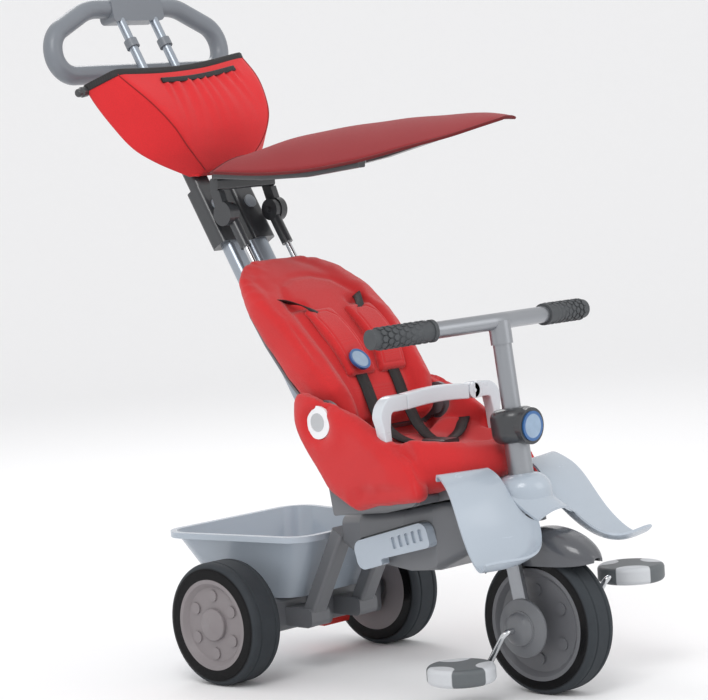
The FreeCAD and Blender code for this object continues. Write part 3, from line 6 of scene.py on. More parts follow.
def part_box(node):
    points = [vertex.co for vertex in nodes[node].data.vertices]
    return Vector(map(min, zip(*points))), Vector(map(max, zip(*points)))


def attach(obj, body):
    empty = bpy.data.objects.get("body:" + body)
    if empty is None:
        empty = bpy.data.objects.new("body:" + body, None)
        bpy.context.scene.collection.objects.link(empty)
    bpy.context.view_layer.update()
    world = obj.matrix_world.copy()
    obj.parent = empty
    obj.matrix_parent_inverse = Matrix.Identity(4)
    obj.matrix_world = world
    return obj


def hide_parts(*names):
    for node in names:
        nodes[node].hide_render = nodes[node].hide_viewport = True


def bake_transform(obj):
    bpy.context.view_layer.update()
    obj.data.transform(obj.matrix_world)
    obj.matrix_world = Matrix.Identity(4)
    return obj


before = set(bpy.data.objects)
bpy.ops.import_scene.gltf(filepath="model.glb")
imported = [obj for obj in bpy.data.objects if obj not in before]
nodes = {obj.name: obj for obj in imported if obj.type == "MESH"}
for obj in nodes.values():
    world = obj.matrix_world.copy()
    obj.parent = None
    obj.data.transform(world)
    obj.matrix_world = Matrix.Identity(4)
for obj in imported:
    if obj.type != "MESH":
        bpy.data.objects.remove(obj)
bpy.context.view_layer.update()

axleLow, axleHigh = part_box("rear_axle")
axleX = (axleLow.x + axleHigh.x) / 2
mm = 0.001
joinGap = 0.00001  # points nearer than this become one
sideways = Vector((0, 1, 0))  # towards the rider's left
upwards = Vector((0, 0, 1))


def at(x, y, z):
    # millimetres from the rear axle's middle, on the floor
    return Vector((axleX + x * mm, y * mm, z * mm))


def objectMode():
    bpy.ops.object.mode_set(mode="OBJECT")


def editMode():
    bpy.ops.object.mode_set(mode="EDIT")


def deselectAll():
    if bpy.context.object and bpy.context.object.mode != "OBJECT":
        objectMode()
    bpy.ops.object.select_all(action="DESELECT")


def makeActive(piece):
    deselectAll()
    piece.select_set(True)
    bpy.context.view_layer.objects.active = piece


class Wire:
    # one output socket, so that sums over a surface read as sums
    def __init__(self, tree, socket):
        self.tree = tree
        self.socket = socket

    def calc(self, operation, *values):
        made = self.tree.nodes.new("ShaderNodeMath")
        made.operation = operation
        for place, value in enumerate(values):
            if isinstance(value, Wire):
                self.tree.links.new(value.socket, made.inputs[place])
            else:
                made.inputs[place].default_value = value
        return Wire(self.tree, made.outputs[0])

    def __add__(self, other):
        return self.calc("ADD", self, other)

    def __radd__(self, other):
        return self.calc("ADD", other, self)

    def __sub__(self, other):
        return self.calc("SUBTRACT", self, other)

    def __rsub__(self, other):
        return self.calc("SUBTRACT", other, self)

    def __mul__(self, other):
        return self.calc("MULTIPLY", self, other)

    def __rmul__(self, other):
        return self.calc("MULTIPLY", other, self)

    def sine(self):
        return self.calc("SINE", self)

    def root(self):
        return self.calc("SQRT", self)

    def most(self, other):
        return self.calc("MAXIMUM", self, other)

    def least(self, other):
        return self.calc("MINIMUM", self, other)

    def above(self, edge, soft):
        # 0 below the edge, 1 above it, with a soft step between
        return ((self - (edge - soft / 2)) * (1 / soft)).most(0).least(1)


class Finish:
    # one material and its nodes
    def __init__(self, name):
        self.material = bpy.data.materials.new(name)
        self.material.use_nodes = True
        self.tree = self.material.node_tree
        self.shader = self.tree.nodes["Principled BSDF"]

    def node(self, kind, settings, sockets, output=0):
        made = self.tree.nodes.new("ShaderNode" + kind)
        for key, value in settings.items():
            setattr(made, key, value)
        for key, value in sockets.items():
            if isinstance(value, Wire):
                self.tree.links.new(value.socket, made.inputs[key])
            elif made.inputs[key].type == "RGBA":
                made.inputs[key].default_value = (*value, 1)
            else:
                made.inputs[key].default_value = value
        return Wire(self.tree, made.outputs[output])

    def place(self, shift=(0, 0, 0), scale=(1, 1, 1)):
        coords = self.node("TexCoord", {}, {}, "Object")
        return self.node("Mapping", {}, {"Vector": coords, "Location": shift, "Scale": scale})

    def split(self, vector):
        made = self.node("SeparateXYZ", {}, {"Vector": vector})
        outs = made.socket.node.outputs
        return [Wire(self.tree, outs[key]) for key in ("X", "Y", "Z")]

    def noise(self, vector, scale, detail, roughness):
        sockets = {"Vector": vector, "Scale": scale, "Detail": detail, "Roughness": roughness}
        return self.node("TexNoise", {}, sockets, "Fac")

    def mix(self, factor, first, second):
        return self.node("Mix", {"data_type": "RGBA"}, {0: factor, 6: first, 7: second}, 2)

    def feed(self, socket, value):
        if isinstance(value, Wire):
            self.tree.links.new(value.socket, self.shader.inputs[socket])
        else:
            self.shader.inputs[socket].default_value = value

    def bump(self, height, distance, strength):
        made = self.node("Bump", {}, {"Height": height, "Distance": distance, "Strength": strength})
        self.feed("Normal", made)


def tint(*photo):
    # photo colour, 0 to 255, as the shader's linear colour
    def linear(value):
        value = value / 255
        return value / 12.92 if value <= 0.04045 else ((value + 0.055) / 1.055) ** 2.4
    return tuple(linear(value) for value in photo)


def shade(colour, factor):
    return tuple(min(1.0, channel * factor) for channel in colour)


def wovenCloth(name, colour, threads, fuzz, sheen):
    made = Finish(name)
    spot = made.place()
    x, y, z = made.split(spot)
    turns = threads * 6.28
    weave = ((x + z * 0.6) * turns).sine() * ((y - z * 0.4 + x * 0.15) * turns).sine()
    nap = made.noise(spot, 520, 3, 0.65)
    cloud = made.noise(spot, 9, 4, 0.6)
    light = made.mix(cloud, shade(colour, 0.86), shade(colour, 1.12))
    flecks = made.mix((nap - 0.35).most(0), light, shade(colour, 1.35))
    made.feed("Base Color", made.mix(weave.most(0) * 0.35, flecks, shade(colour, 0.72)))
    made.feed("Roughness", 0.78 + nap * 0.16)
    made.feed("Sheen Weight", sheen)
    made.feed("Sheen Roughness", 0.5)
    made.feed("Specular IOR Level", 0.25)
    made.bump(weave * 0.35 + nap * 0.65, fuzz, 0.8)
    return made.material


def webbing(name, colour):
    made = Finish(name)
    x, y, z = made.split(made.place())
    ribs = ((z - x * 0.7) * 5200).sine()
    cross = (y * 3600).sine()
    made.feed("Base Color", made.mix(ribs.most(0) * 0.5, colour, shade(colour, 2.2)))
    made.feed("Roughness", 0.5 + cross.most(0) * 0.2)
    made.bump(ribs * 0.6 + cross * 0.4, 0.0002, 0.8)
    return made.material


def mouldedPlastic(name, colour, roughness, pebble, coat):
    # fine grain, slow clouds and a few faint scuffs
    made = Finish(name)
    spot = made.place()
    cloud = made.noise(spot, 5, 3, 0.5)
    grain = made.noise(spot, 1400, 2, 0.6)
    scuffs = made.noise(made.place(scale=(1, 0.25, 1.6)), 60, 5, 0.7).above(0.66, 0.1) * 0.1
    body = made.mix(cloud, shade(colour, 0.94), shade(colour, 1.08))
    made.feed("Base Color", made.mix(scuffs, body, shade(colour, 1.2)))
    made.feed("Roughness", roughness + (cloud - 0.5) * 0.08 + scuffs * 0.5)
    made.feed("Coat Weight", coat)
    made.feed("Coat Roughness", 0.12)
    made.bump(grain * 0.7 + cloud * 0.3, pebble, 0.7)
    return made.material


def silverPaint(name, colour, roughness, metallic):
    made = Finish(name)
    spot = made.place()
    flake = made.noise(spot, 2600, 1, 0.5)
    drift = made.noise(spot, 7, 3, 0.5)
    made.feed("Base Color", made.mix(flake, shade(colour, 0.88), shade(colour, 1.1)))
    made.feed("Metallic", metallic)
    made.feed("Roughness", roughness + (drift - 0.5) * 0.12)
    made.feed("Coat Weight", 0.25)
    made.feed("Coat Roughness", 0.15)
    made.bump(flake, 0.00001, 0.5)
    return made.material


def plated(name, colour, roughness):
    made = Finish(name)
    brush = made.noise(made.place(scale=(40, 1, 40)), 30, 3, 0.6)
    made.feed("Base Color", made.mix(brush, shade(colour, 0.9), colour))
    made.feed("Metallic", 1.0)
    made.feed("Roughness", roughness + made.noise(made.place(), 30, 2, 0.5) * 0.12)
    made.bump(brush, 0.00001, 0.4)
    return made.material


def tyreRubber(name, node, tread=tint(56, 60, 64), wall=tint(12, 12, 14), shoulder=0.0075):
    # matt tread outside its shoulder, glossy black wall inside
    low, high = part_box(node)
    made = Finish(name)
    middle = (-(low.x + high.x) / 2, 0, -(low.z + high.z) / 2)
    x, y, z = made.split(made.place(shift=middle))
    isTread = (x * x + z * z).root().above((high.z - low.z) / 2 - shoulder, 0.003)
    spot = made.place()
    dust = made.noise(spot, 38, 4, 0.65)
    grit = made.noise(spot, 900, 2, 0.6)
    matt = made.mix(dust, shade(tread, 0.85), shade(tread, 1.2))
    made.feed("Base Color", made.mix(isTread, wall, matt))
    made.feed("Roughness", 0.14 + isTread * 0.5 + dust * 0.08)
    made.feed("Specular IOR Level", 0.14)
    made.bump(isTread * grit, 0.0002, 0.6)
    return made.material


def grippedRubber(name, colour):
    made = Finish(name)
    spot = made.place()
    grit = made.noise(spot, 1100, 2, 0.6)
    dust = made.noise(spot, 60, 3, 0.6)
    made.feed("Base Color", made.mix(dust, shade(colour, 0.8), shade(colour, 1.2)))
    made.feed("Roughness", 0.6 + grit * 0.15)
    made.bump(grit, 0.00012, 0.7)
    return made.material


def plainBadge(name, centre, facing, radius, rimColour=tint(38, 92, 150),
               faceColour=tint(150, 172, 196)):
    # a bare round plate: coloured rim, brushed pale middle
    made = Finish(name)
    spot = made.place(shift=tuple(-centre))
    x, y, z = made.split(spot)
    along = x * facing.x + y * facing.y + z * facing.z
    radial = (x * x + y * y + z * z - along * along).most(0).root()
    rim = radial.above(radius, radius * 0.08)
    cloud = made.noise(spot, 90, 3, 0.6)
    face = made.mix(cloud, shade(faceColour, 0.8), shade(faceColour, 1.15))
    made.feed("Base Color", made.mix(rim, face, rimColour))
    made.feed("Metallic", 0.45 - rim * 0.4)
    made.feed("Roughness", 0.28 + cloud * 0.1)
    made.feed("Coat Weight", 0.5)
    made.bump(rim * 0.8 + cloud * 0.05, 0.0004, 0.8)
    return made.material


def pedalTwoTone(name, node, firstAngle, dark=tint(92, 97, 100), light=tint(196, 199, 203)):
    # three light pads reach in from the rim of a dark disc
    low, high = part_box(node)
    made = Finish(name)
    radius = (high.x - low.x) / 2
    spot = made.place(shift=tuple(-(low + high) / 2))
    x, y, z = made.split(spot)
    pads = None
    for turn in range(3):
        angle = math.radians(firstAngle + 120 * turn)
        dx = x - math.cos(angle) * radius * 0.98
        dy = y - math.sin(angle) * radius * 0.98
        pad = 1 - (dx * dx + dy * dy).root().above(radius * 0.52, radius * 0.03)
        pads = pad if pads is None else pads.most(pad)
    grain = made.noise(spot, 900, 2, 0.6)
    darkGrain = made.mix(grain, shade(dark, 0.85), shade(dark, 1.1))
    lightGrain = made.mix(grain, shade(light, 0.93), shade(light, 1.04))
    made.feed("Base Color", made.mix(pads, darkGrain, lightGrain))
    made.feed("Roughness", 0.45 - pads * 0.08 + grain * 0.08)
    made.bump(pads * 0.8 + grain * 0.05, 0.0006, 0.9)
    return made.material


# canopy red: the same red cloth darkened by painted shade, as on a shaded underside
bagRed, canopyShadedRed, black = tint(206, 42, 46), tint(140, 42, 46), tint(30, 29, 30)
plastics = {  # colour, roughness, height of the grain, clear coat
    "disc": (tint(128, 122, 124), 0.45, 0.00004, 0.0),
    "frontDisc": (tint(96, 97, 101), 0.4, 0.00004, 0.0),
    "chassis": (tint(104, 106, 110), 0.34, 0.00003, 0.1),
    "mudguard": (tint(76, 78, 83), 0.22, 0.00002, 0.4),
    "dark": (tint(54, 56, 59), 0.3, 0.00003, 0.25),
    "ring": (tint(116, 121, 128), 0.38, 0.00002, 0.1),
    "light": (tint(168, 178, 189), 0.24, 0.00001, 0.35),
    "bar": (tint(205, 210, 216), 0.28, 0.00001, 0.3),
    "white": (tint(232, 233, 236), 0.25, 0.00001, 0.3),
    "button": (tint(150, 158, 165), 0.3, 0.00001, 0.3),
    "brake": (tint(196, 44, 38), 0.3, 0.00001, 0.3),
}
cloths = {  # colour, threads to the metre, height of the fuzz, sheen
    "seatCloth": (tint(198, 42, 44), 900, 0.00035, 0.25),
    "bagCloth": (bagRed, 1100, 0.0002, 0.15),
    # the canopy cloth carries painted shade through the canopy red; the hem is darker of itself on
    # top of that painted shade
    "canopyShadedCloth": (canopyShadedRed, 1100, 0.00015, 0.1),
    "seamCloth": (shade(bagRed, 0.45), 1100, 0.0002, 0.1),
    "hemCloth": (shade(canopyShadedRed, 0.5), 1100, 0.0002, 0.1),
}
finishes = {
    "binding": webbing("binding", black),
    "strap": webbing("strap", shade(black, 0.8)),
    "silver": silverPaint("silver", tint(150, 153, 158), 0.34, 0.8),
    "tube": silverPaint("tube", tint(160, 168, 178), 0.3, 0.75),
    "chrome": plated("chrome", tint(205, 207, 210), 0.16),
    "grip": grippedRubber("grip", tint(70, 73, 76)),
    "pedalNear": pedalTwoTone("pedalNear", "pedal_right", 25),
    "pedalFar": pedalTwoTone("pedalFar", "pedal_left", -48),
}
for name, row in plastics.items():
    finishes[name] = mouldedPlastic(name, *row)
for name, row in cloths.items():
    finishes[name] = wovenCloth(name, *row)
noseLow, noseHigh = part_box("steering_button")
finishes["noseBadge"] = plainBadge("noseBadge", (noseLow + noseHigh) / 2, Vector((1, 0, 0)),
                                   (noseHigh.y - noseLow.y) / 2 * 0.8)

nodeFinish = {
    "disc": "rear_disc_left rear_disc_right rear_cap_left rear_cap_right",
    "frontDisc": "front_disc",
    "chassis": "chassis_upper chassis_lower axle_housing rear_legs hub_covers seat_base "
               "backrest_shell",
    "mudguard": "mudguard",
    "dark": "steering_ball buckle canopy_sleeves canopy_joints canopy_frame lock_housings",
    "ring": "handle_ring ring_bridge ring_collars",
    "light": "tub footrest seat_lever_left seat_lever_right",
    "bar": "bumper_bar bumper_bracket_left bumper_bracket_right bumper_pin",
    "silver": "head_tube stem fork handlebar",
    "tube": "slide_tubes outer_tubes",
    "chrome": "rear_axle brake_pin crank canopy_rods recline_button_left recline_button_right",
    "grip": "grips",
    "white": "recline_discs",
    "button": "lock_button_left lock_button_right",
    "noseBadge": "steering_button",
    "brake": "brake_pedal",
    "pedalNear": "pedal_right",
    "pedalFar": "pedal_left",
    "seatCloth": "seat_cushion backrest_cushion shoulder_pads",
    "bagCloth": "bag",
    "canopyShadedCloth": "canopy",
    "strap": "harness",
}


def paint(piece, material):
    piece.data.materials.clear()
    piece.data.materials.append(material)


for finish, names in nodeFinish.items():
    for name in names.split():
        paint(nodes[name], finishes[finish])
for name in ("front_tyre", "rear_tyre_left", "rear_tyre_right"):
    paint(nodes[name], tyreRubber(name + "Rubber", name))
print("finishes are on the fixed pieces")


def linked(name, data):
    piece = bpy.data.objects.new(name, data)
    bpy.context.scene.collection.objects.link(piece)
    return piece


def cleanUp(piece, merge=0.0, sides=None):
    # joins doubled points, closes holes of so many sides and turns the faces outwards
    makeActive(piece)
    editMode()
    bpy.ops.mesh.select_all(action="SELECT")
    if merge:
        bpy.ops.mesh.remove_doubles(threshold=merge)
    if sides is not None:
        bpy.ops.mesh.fill_holes(sides=sides)
    bpy.ops.mesh.normals_make_consistent(inside=False)
    objectMode()


def modify(piece, kind, **settings):
    # adds a modifier with these settings and applies it
    modifier = piece.modifiers.new(kind.lower(), kind)
    for key, value in settings.items():
        setattr(modifier, key, value)
    makeActive(piece)
    bpy.ops.object.modifier_apply(modifier=modifier.name)


def swell(piece, cover, frames=20):
    # pumps the cover up like a stuffed one, and no point moves further than its cap
    start = [vertex.co.copy() for vertex in piece.data.vertices]
    cloth = piece.modifiers.new("cloth", "CLOTH")
    cloth.settings.use_pressure = True
    cloth.settings.uniform_pressure_force = cover["pressure"]
    cloth.settings.effector_weights.gravity = 0
    cloth.settings.quality = 5
    scene = bpy.context.scene
    scene.frame_start = 1
    scene.frame_end = frames
    for step in range(1, frames + 1):
        scene.frame_set(step)
    makeActive(piece)
    bpy.ops.object.modifier_apply(modifier=cloth.name)
    scene.frame_set(1)
    for vertex, before in zip(piece.data.vertices, start):
        move = vertex.co - before
        if move.length > cover["cap"]:
            vertex.co = before + move * (cover["cap"] / move.length)


def pushIn(piece, depthAt):
    # moves each point against its normal by what depthAt gives for its place
    normals = [vertex.normal.copy() for vertex in piece.data.vertices]
    for vertex, normal in zip(piece.data.vertices, normals):
        depth = depthAt(vertex.co, normal)
        if depth:
            vertex.co = vertex.co - normal * depth
    piece.data.update()


def sewnCover(node, name, cover, growth, depth, moved=None):
    # a CAD cushion's mesh, softened and stuffed, with its seams and slots pressed in
    piece = linked(name, nodes[node].data.copy())
    cleanUp(piece, joinGap)
    piece.data.materials.clear()
    if moved:
        for vertex in piece.data.vertices:
            vertex.co = moved(vertex.co)
    first, last = cover["smoothing"]
    modify(piece, "REMESH", mode="VOXEL", voxel_size=cover["voxel"])
    modify(piece, "SMOOTH", factor=0.5, iterations=first)
    pushIn(piece, growth)
    swell(piece, cover)
    modify(piece, "SMOOTH", factor=0.5, iterations=last)
    modify(piece, "SUBSURF", levels=1, render_levels=1)
    pushIn(piece, depth)
    return piece


def dress(piece, body, finish, replaces=(), soft=True):
    # a piece that blends between two bodies rides on neither
    paint(piece, finishes[finish])
    if soft:
        makeActive(piece)
        bpy.ops.object.shade_smooth()
    if body:
        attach(piece, body)
    if replaces:
        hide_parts(*replaces)


def gridPiece(name, rows, closedAcross=False):
    across = len(rows[0])
    faces = []
    for row in range(len(rows) - 1):
        for place in range(across if closedAcross else across - 1):
            after = (place + 1) % across
            faces.append((row * across + place, row * across + after,
                          (row + 1) * across + after, (row + 1) * across + place))
    data = bpy.data.meshes.new(name)
    data.from_pydata([tuple(point) for row in rows for point in row], [], faces)
    return linked(name, data)


def selectFaces(piece, test):
    # in edit mode with just the faces that pass
    makeActive(piece)
    editMode()
    bpy.ops.mesh.select_mode(type="FACE")
    bpy.ops.mesh.select_all(action="DESELECT")
    objectMode()
    for face in piece.data.polygons:
        face.select = test(face)
    editMode()


def isTop(face):
    return face.normal.z > 0.9


def sweep(name, path, ringAt, closed=False):
    # a section carried along a path: ringAt gives it for a point and a heading
    rings = []
    count = len(path)
    for place, point in enumerate(path):
        before = path[place - 1] if closed or place else path[0]
        after = path[(place + 1) % count] if closed or place < count - 1 else path[-1]
        rings.append(ringAt(point, (after - before).normalized()))
    if closed:
        rings.append(rings[0])
    piece = gridPiece(name, rings, True)
    cleanUp(piece, joinGap, None if closed else len(rings[0]))
    return piece


def tubeAlong(name, path, radius, closed=False, sides=8):
    def ring(point, heading):
        across = heading.cross(upwards)
        if across.length < 0.05:
            across = heading.cross(sideways)
        across.normalize()
        over = across.cross(heading).normalized()
        turns = [2 * math.pi * side / sides for side in range(sides)]
        return [point + (across * math.cos(t) + over * math.sin(t)) * radius for t in turns]
    return sweep(name, path, ring, closed)


def stationValue(stations, values, place):
    # a smooth line through the values
    if place <= stations[0]:
        return values[0]
    if place >= stations[-1]:
        return values[-1]
    step = 0
    while place > stations[step + 1]:
        step += 1
    first, second = stations[step], stations[step + 1]
    share = (place - first) / (second - first)
    before, after = max(step - 1, 0), min(step + 2, len(values) - 1)
    start, end = values[step], values[step + 1]
    slopeStart = (end - values[before]) / (second - stations[before]) * (second - first)
    slopeEnd = (values[after] - start) / (stations[after] - first) * (second - first)
    cube, square = share ** 3, share ** 2
    return ((2 * cube - 3 * square + 1) * start + (cube - 2 * square + share) * slopeStart
            + (3 * square - 2 * cube) * end + (cube - square) * slopeEnd)


def ramp(value, start, end):
    share = max(0.0, min(1.0, (value - start) / (end - start)))
    return share * share * (3 - 2 * share)


def bell(share):
    return math.exp(-share ** 2)


def lineDistance(x, y, line):
    nearest = math.inf
    spot = Vector((x, y))
    for start, end in zip(line[:-1], line[1:]):
        first = Vector(start)
        run = Vector(end) - first
        share = max(0.0, min(1.0, (spot - first).dot(run) / run.length_squared))
        nearest = min(nearest, (spot - first - run * share).length)
    return nearest


def leaning(part):
    # where a leaning part starts, and the directions up along it and off its front
    lean = math.radians(part["lean"])
    return (at(part["reach"], 0, part["height"]), Vector((-math.sin(lean), 0, math.cos(lean))),
            Vector((math.cos(lean), 0, math.sin(lean))))


# backrest cover, laid out along the leaning back: across, along and off the back
backrest = {
    "reach": 110, "height": 449, "lean": 38.2,
    "voxel": 0.005, "smoothing": (5, 6), "cap": 0.003, "pressure": 4.0, "grow": 0.001,
    "sideGrow": 0.003, "topGrow": 0.010, "topEdge": (40, 170), "farGrow": 0.005,
    "farEdge": (60, 110), "rimDrop": 0.012, "rimEdge": (52, 98), "rimReach": (-60, 40),
    "channel": [(-62, -88), (-68, -40), (-74, 20), (-78, 80), (-76, 126), (-56, 164),
                (-22, 178), (0, 180), (22, 178), (56, 164), (76, 126), (78, 80), (74, 20),
                (68, -40), (62, -88)],
    "channelWidth": 7, "channelDepth": 0.0026,
    "slots": [(-62, 112), (62, 112)], "slotHalf": (17, 8), "slotDepth": 0.008, "facing": 0.3,
}
backBase, backUp, backFront = leaning(backrest)


def onBack(y, along, front):
    return backBase + backUp * (along * mm) + backFront * (front * mm) + sideways * (y * mm)


def backPlace(point):
    away = point - backBase
    return point.y / mm, away.dot(backUp) / mm, away.dot(backFront) / mm


def makeBackCover():
    def growth(point, normal):
        # wider towards the top, and a lower rim on the near side of the slots
        y, along, front = backPlace(point)
        facing = normal.dot(backFront)
        rim = ramp(-y, *backrest["rimEdge"]) * ramp(along, *backrest["rimReach"])
        side = (backrest["sideGrow"] + backrest["topGrow"] * ramp(along, *backrest["topEdge"])
                + backrest["farGrow"] * ramp(y, *backrest["farEdge"]))
        return (rim * max(0.0, facing) * backrest["rimDrop"] - backrest["grow"]
                - side * (1 - abs(facing)))

    def depth(point, normal):
        y, along, front = backPlace(point)
        if normal.dot(backFront) < backrest["facing"]:
            return 0
        gap = lineDistance(y, along, backrest["channel"])
        groove = bell(gap / backrest["channelWidth"]) * backrest["channelDepth"]
        for slotY, slotAlong in backrest["slots"]:
            dy = abs(y - slotY) / backrest["slotHalf"][0]
            da = abs(along - slotAlong) / backrest["slotHalf"][1]
            groove += backrest["slotDepth"] * math.exp(-(dy ** 4 + da ** 2))
        return groove

    piece = sewnCover("backrest_cushion", "backCover", backrest, growth, depth)
    dress(piece, "backrest", "seatCloth", ["backrest_cushion"])


makeBackCover()
print("backrest cover done")


# seat cover: the pad and both side panels as one sewn cover
seatCover = {
    "voxel": 0.005, "smoothing": (7, 4), "cap": 0.004, "pressure": 4.0, "grow": 0.0016,
    "panel": (0.1265, 0.1295), "panelTo": 0.1185,
    "disc": (191, 405), "discRadius": 31, "collar": 0.0055, "collarWidth": 20,
    "seam": [(300, 392), (330, 370), (352, 350), (366, 330), (372, 305)],
    "seamWidth": 2.6, "seamDepth": 0.0014, "facing": 0.35,
}


def makeSeatCover():
    def thicken(point):
        # the panels' inner faces move in, so that the remesh keeps the panels whole
        if seatCover["panel"][0] < abs(point.y) < seatCover["panel"][1]:
            point.y = math.copysign(seatCover["panelTo"], point.y)
        return point

    def depth(point, normal):
        if abs(normal.y) < seatCover["facing"]:
            return 0
        x, z = (point.x - axleX) / mm, point.z / mm
        gap = lineDistance(x, z, seatCover["seam"])
        discX, discZ = seatCover["disc"]
        away = math.hypot(x - discX, z - discZ) - seatCover["discRadius"]
        collar = bell(away / seatCover["collarWidth"]) * seatCover["collar"]
        seam = bell(gap / seatCover["seamWidth"]) * seatCover["seamDepth"]
        return seam - (collar if normal.y * point.y > 0 else 0)

    piece = sewnCover("seat_cushion", "seatCover", seatCover,
                      lambda point, normal: -seatCover["grow"], depth, thicken)
    dress(piece, "frame", "seatCloth", ["seat_cushion"])


makeSeatCover()


# a roll of cloth behind the seat pad, round under the backrest's lower edge
seatRoll = {"axis": (191, 405), "radius": 41, "thick": 7, "from": 292, "to": 172, "half": 110,
            "steps": 26, "across": 24, "sag": 1.5, "wave": 0.5, "waveAcross": 0.11, "waveRound": 3}


def makeSeatRoll():
    rows = []
    for step in range(seatRoll["steps"] + 1):
        turned = (seatRoll["to"] - seatRoll["from"]) * step / seatRoll["steps"]
        angle = math.radians(seatRoll["from"] + turned)
        line = []
        for side, thick in ((1, 0), (-1, seatRoll["thick"])):
            for place in range(seatRoll["across"] + 1):
                share = place / seatRoll["across"]
                y = seatRoll["half"] * (2 * share - 1) * side
                wave = math.sin(y * seatRoll["waveAcross"] + angle * seatRoll["waveRound"])
                radius = (seatRoll["radius"] + thick + seatRoll["sag"] * math.sin(share * math.pi)
                          + seatRoll["wave"] * wave)
                line.append(at(seatRoll["axis"][0] + radius * math.cos(angle), y,
                               seatRoll["axis"][1] + radius * math.sin(angle)))
        rows.append(line)
    piece = gridPiece("seatRoll", rows, True)
    cleanUp(piece, joinGap, 0)
    dress(piece, "frame", "seatCloth")


makeSeatRoll()
print("seat cover done")


# shoulder pads with a sewn contour, and a bare round badge on the near one
shoulderPad = {
    "voxel": 0.0025, "smoothing": (5, 2), "cap": 0.002, "pressure": 3.0, "grow": 0.0012,
    "inset": 7, "width": 56, "seamDepth": 0.0011, "seamWidth": 1.7,
    "middles": [42, 48, 51, 52], "alongs": [-28, 13, 66, 96],
    "nearShift": 15, "tuck": 12, "tuckEdge": (60, -40), "facing": 0.4,
    "corner": (0.5, 0.6),
}
badge = {"y": -35, "along": -13, "front": 79.5, "radius": 18.5, "thick": 5, "rim": 0.16,
         "sunk": 0.8, "bevel": 0.6, "face": 0.78}


def makeShoulderPads():
    shift = shoulderPad["nearShift"]

    def tucked(point):
        y, along, front = backPlace(point)
        lift = ramp(along, *shoulderPad["tuckEdge"]) * shoulderPad["tuck"]
        return onBack(y + (shift if y < 0 else 0), along + lift, front)

    def depth(point, normal):
        y, along, front = backPlace(point)
        if normal.dot(backFront) < shoulderPad["facing"]:
            return 0
        inset = shoulderPad["inset"]
        half = shoulderPad["width"] / 2 - inset
        middle = stationValue(shoulderPad["alongs"], shoulderPad["middles"], along)
        top, low = shoulderPad["alongs"][-1] - inset, shoulderPad["alongs"][0] + inset
        across, down = shoulderPad["corner"]
        line = [(middle + half * share, height)
                for share, height in ((-1, low), (-1, top - half * down), (-across, top),
                                      (across, top), (1, top - half * down), (1, low), (-1, low))]
        gap = lineDistance(shift - y if y < shift / 2 else y, along, line)
        return bell(gap / shoulderPad["seamWidth"]) * shoulderPad["seamDepth"]

    piece = sewnCover("shoulder_pads", "shoulderPadCovers", shoulderPad,
                      lambda point, normal: -shoulderPad["grow"], depth, tucked)
    dress(piece, "backrest", "seatCloth", ["shoulder_pads"])


def extrudeOn(move, scale=None):
    # the selected end face moves on by one step, in millimetres
    bpy.ops.mesh.extrude_region_move(TRANSFORM_OT_translate={"value": Vector(move) * mm})
    if scale:
        bpy.ops.transform.resize(value=scale)


def moveTo(piece, point, turn=Matrix()):
    objectMode()
    piece.data.transform(Matrix.Translation(point) @ turn)


def roundOff(piece, bevel, segments=3, sharp=40, soft=35):
    # bevels edges sharper than one angle, and shades softly across less than the other
    cleanUp(piece)
    modify(piece, "BEVEL", width=bevel * mm, segments=segments, limit_method="ANGLE",
           angle_limit=math.radians(sharp))
    makeActive(piece)
    bpy.ops.object.shade_smooth_by_angle(angle=math.radians(soft))


def cylinder(name, sides, radius, depth):
    deselectAll()
    bpy.ops.mesh.primitive_cylinder_add(vertices=sides, radius=radius * mm, depth=depth * mm)
    piece = bpy.context.object
    piece.name = name
    return piece


def makeBadge():
    piece = cylinder("padBadge", 48, badge["radius"], badge["thick"])
    selectFaces(piece, isTop)
    bpy.ops.mesh.inset(thickness=badge["radius"] * mm * badge["rim"])
    bpy.ops.transform.translate(value=(0, 0, -badge["sunk"] * mm))
    spot = onBack(badge["y"], badge["along"], badge["front"])
    moveTo(piece, spot, backFront.to_track_quat("Z", "Y").to_matrix().to_4x4())
    roundOff(piece, badge["bevel"])
    finishes["padBadge"] = plainBadge("padBadgeFinish", spot, backFront,
                                      badge["radius"] * mm * badge["face"])
    dress(piece, "backrest", "padBadge", soft=False)


makeShoulderPads()
makeBadge()
print("shoulder pads done")


# harness webbing, laid over the cushions
harness = {
    "width": 24, "thick": 1.8, "crown": 0.97, "lean": 0.55, "pathSteps": 6,
    "upper": [(80, 128, 46), (72, 119, 55), (63, 108, 61), (55, 97, 65), (49, 86, 67)],
    "lower": [(43, -20, 62), (42, -46, 58), (40, -72, 53)], "nearShift": [14, 12, 8],
    "seat": [(212, 37, 402), (226, 34, 384), (243, 30, 371), (262, 24, 363), (284, 18, 358),
             (298, 13, 357)],
    "crotch": [(322, 0, 359), (336, 0, 355), (352, 0, 353), (368, 0, 354)],
    "lap": [(290, 17, 358), (282, 48, 359), (272, 78, 366), (262, 98, 376), (254, 112, 383)],
}


def smoothPath(points):
    made = []
    last = len(points) - 1
    for place in range(last):
        before, after = points[max(place - 1, 0)], points[min(place + 2, last)]
        start, end = points[place], points[place + 1]
        for step in range(harness["pathSteps"]):
            t = step / harness["pathSteps"]
            made.append(0.5 * ((2 * start) + (end - before) * t
                               + (2 * before - 5 * start + 4 * end - after) * t * t
                               + (3 * start - before - 3 * end + after) * t ** 3))
    return made + [points[-1]]


def strapAlong(name, points, across=sideways, lift=None):
    # a flat strap whose width lies across; with no lift it stands off its own run
    path = smoothPath(points)
    side = across.normalized() * (harness["width"] * mm / 2)
    rows = []
    for place, point in enumerate(path):
        run = path[min(place + 1, len(path) - 1)] - path[max(place - 1, 0)]
        up = (run.cross(sideways) if lift is None else lift).normalized() * (harness["thick"] * mm)
        crown = side * harness["crown"]
        rows.append([point - side, point - crown + up, point + crown + up, point + side])
    piece = gridPiece(name, rows, True)
    cleanUp(piece, sides=4)
    return piece


